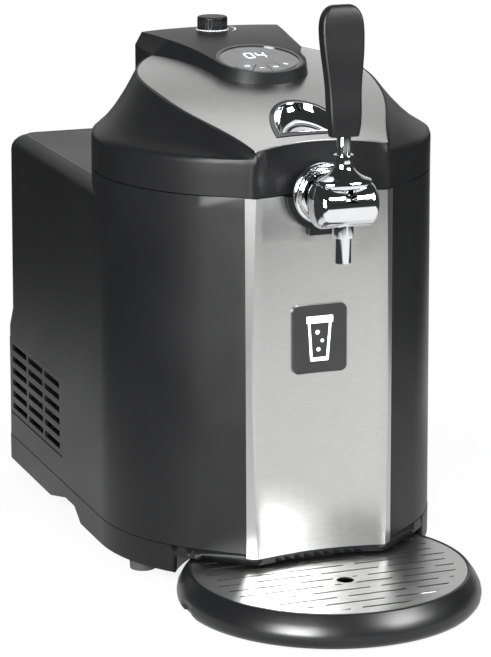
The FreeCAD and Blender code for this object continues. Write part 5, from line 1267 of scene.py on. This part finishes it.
@dataclass
class Latch(Assembly):
    """The lid's catch, in millimetres: a chrome finger cup in a black rim, with a paddle on its floor."""

    top: SteelTop = SteelTop()
    front: float = -108.0
    half: float = 27.0
    length: float = 44.0
    fit_gap: float = 0.1
    depth: float = 12.0
    hole_half: float = 19.5
    hole_front: float = 3.2
    hole_length: float = 27.3
    bowl_start: float = 0.14
    bowl_top: float = 0.1
    bowl_depth: float = 10.5
    bowl_steps: int = 18
    lip: tuple[Range, ...] = (
        (0.0, 0.1), (0.012, 0.55), (0.04, 0.8), (0.08, 0.85), (0.115, 0.7), (0.13, 0.4),
    )
    crease: float = 50.0
    paddle_half: float = 19.0
    paddle_front: float = 5.0
    paddle_length: float = 25.0
    paddle_middle: float = 9.5
    paddle_section: tuple[Range, ...] = (
        (0.0, -11.6), (1.0, -11.6), (1.0, -10.3), (0.985, -9.9), (0.95, -9.7), (0.9, -9.8), (0.86, -10.2),
        (0.83, -10.6), (0.79, -10.8), (0.5, -10.95), (0.0, -11.0),
    )

    def build(self) -> None:
        """Dresses the rim and makes the cup and its paddle."""
        self.refine("latch_rim")
        self.cup()
        self.paddle()

    def swept(self, name: str, start: np.ndarray, end: np.ndarray, section: np.ndarray,
              closed: bool) -> bpy.types.Object:
        """A piece whose section runs between two outlines, by shares of the way and levels.

        Args:
            name: the new object's name.
            start: the outline at share zero, or one point.
            end: the outline at share one.
            section: rows of share and level.
            closed: whether the section's end joins its start.

        Returns:
            The mesh object.
        """
        share, level = section[:, 0][:, None, None], section[:, 1][:, None, None]
        rows = self.top.lay(at_level(start + share * (end - start), level))
        return tidy_mesh(sheet_mesh(name, rows, round_u=closed, round_v=True), crease=self.crease)

    def cup(self) -> None:
        """Makes the cup: its section runs from the outer wall over a round lip down a quarter ellipse."""
        gap = self.fit_gap
        outer = d_outline(self.half - gap, self.front + gap, self.length - 2 * gap)
        hole = d_outline(self.hole_half, self.front + self.hole_front, self.hole_length)
        turn = np.linspace(0.0, math.pi / 2, self.bowl_steps)[1:]
        share = self.bowl_start + (1 - self.bowl_start) * (1 - np.cos(turn))
        bowl = np.stack([share, self.bowl_top - self.bowl_depth * np.sin(turn)], axis=-1)
        section = np.concatenate([[(0.0, -self.depth)], self.lip, bowl, [(1.0, -self.depth)]])
        made = self.swept("finger_cup", outer, hole, section, True)
        self.fit(made, "lid", "chrome", "chrome")
        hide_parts("latch_cup")

    def paddle(self) -> None:
        """Makes the paddle: a D plate with a raised round lip and a slightly hollow middle."""
        front = self.front + self.paddle_front
        outer = d_outline(self.paddle_half, front, self.paddle_length)
        middle = np.array([0.0, front + self.paddle_middle])
        made = self.swept("finger_paddle", middle, outer, np.array(self.paddle_section), False)
        self.fit(made, "latch", "satin", "chrome")
        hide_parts("latch_paddle")


@dataclass
class Tap(Assembly):
    """The chrome tap with its lever and black handle."""

    def build(self) -> None:
        """Dresses the tap."""
        self.refine("tap_collar", "shell_black")
        for node in ("tap_flange", "tap_body", "tap_spout", "lever_saddle", "lever_stem"):
            self.refine(node)
        self.refine("tap_handle", "shell_black")


@dataclass
class Tray(Assembly):
    """The drip tray and its perforated steel plate."""

    def build(self) -> None:
        """Dresses the tray."""
        self.refine("drip_tray", "tray")
        self.refine("drip_grille")


@dataclass
class Interior(Assembly):
    """Everything else: keg well, cooling train, supply, gas parts, lid lining, hinge and screws."""

    def build(self) -> None:
        """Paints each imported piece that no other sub-assembly has replaced."""
        for name, node in frame["nodes"].items():
            if not node.hide_render:
                self.dress(name)


def main() -> None:
    """Builds the studio and every sub-assembly in order."""
    logging.basicConfig(level=logging.INFO, format="%(name)s: %(message)s")
    Studio().build()
    paints = mixed()
    for kind in (Housing, Lid, Dial, Latch, Tap, Tray, Interior):
        kind(paints).build()


if __name__ == "__main__":
    main()
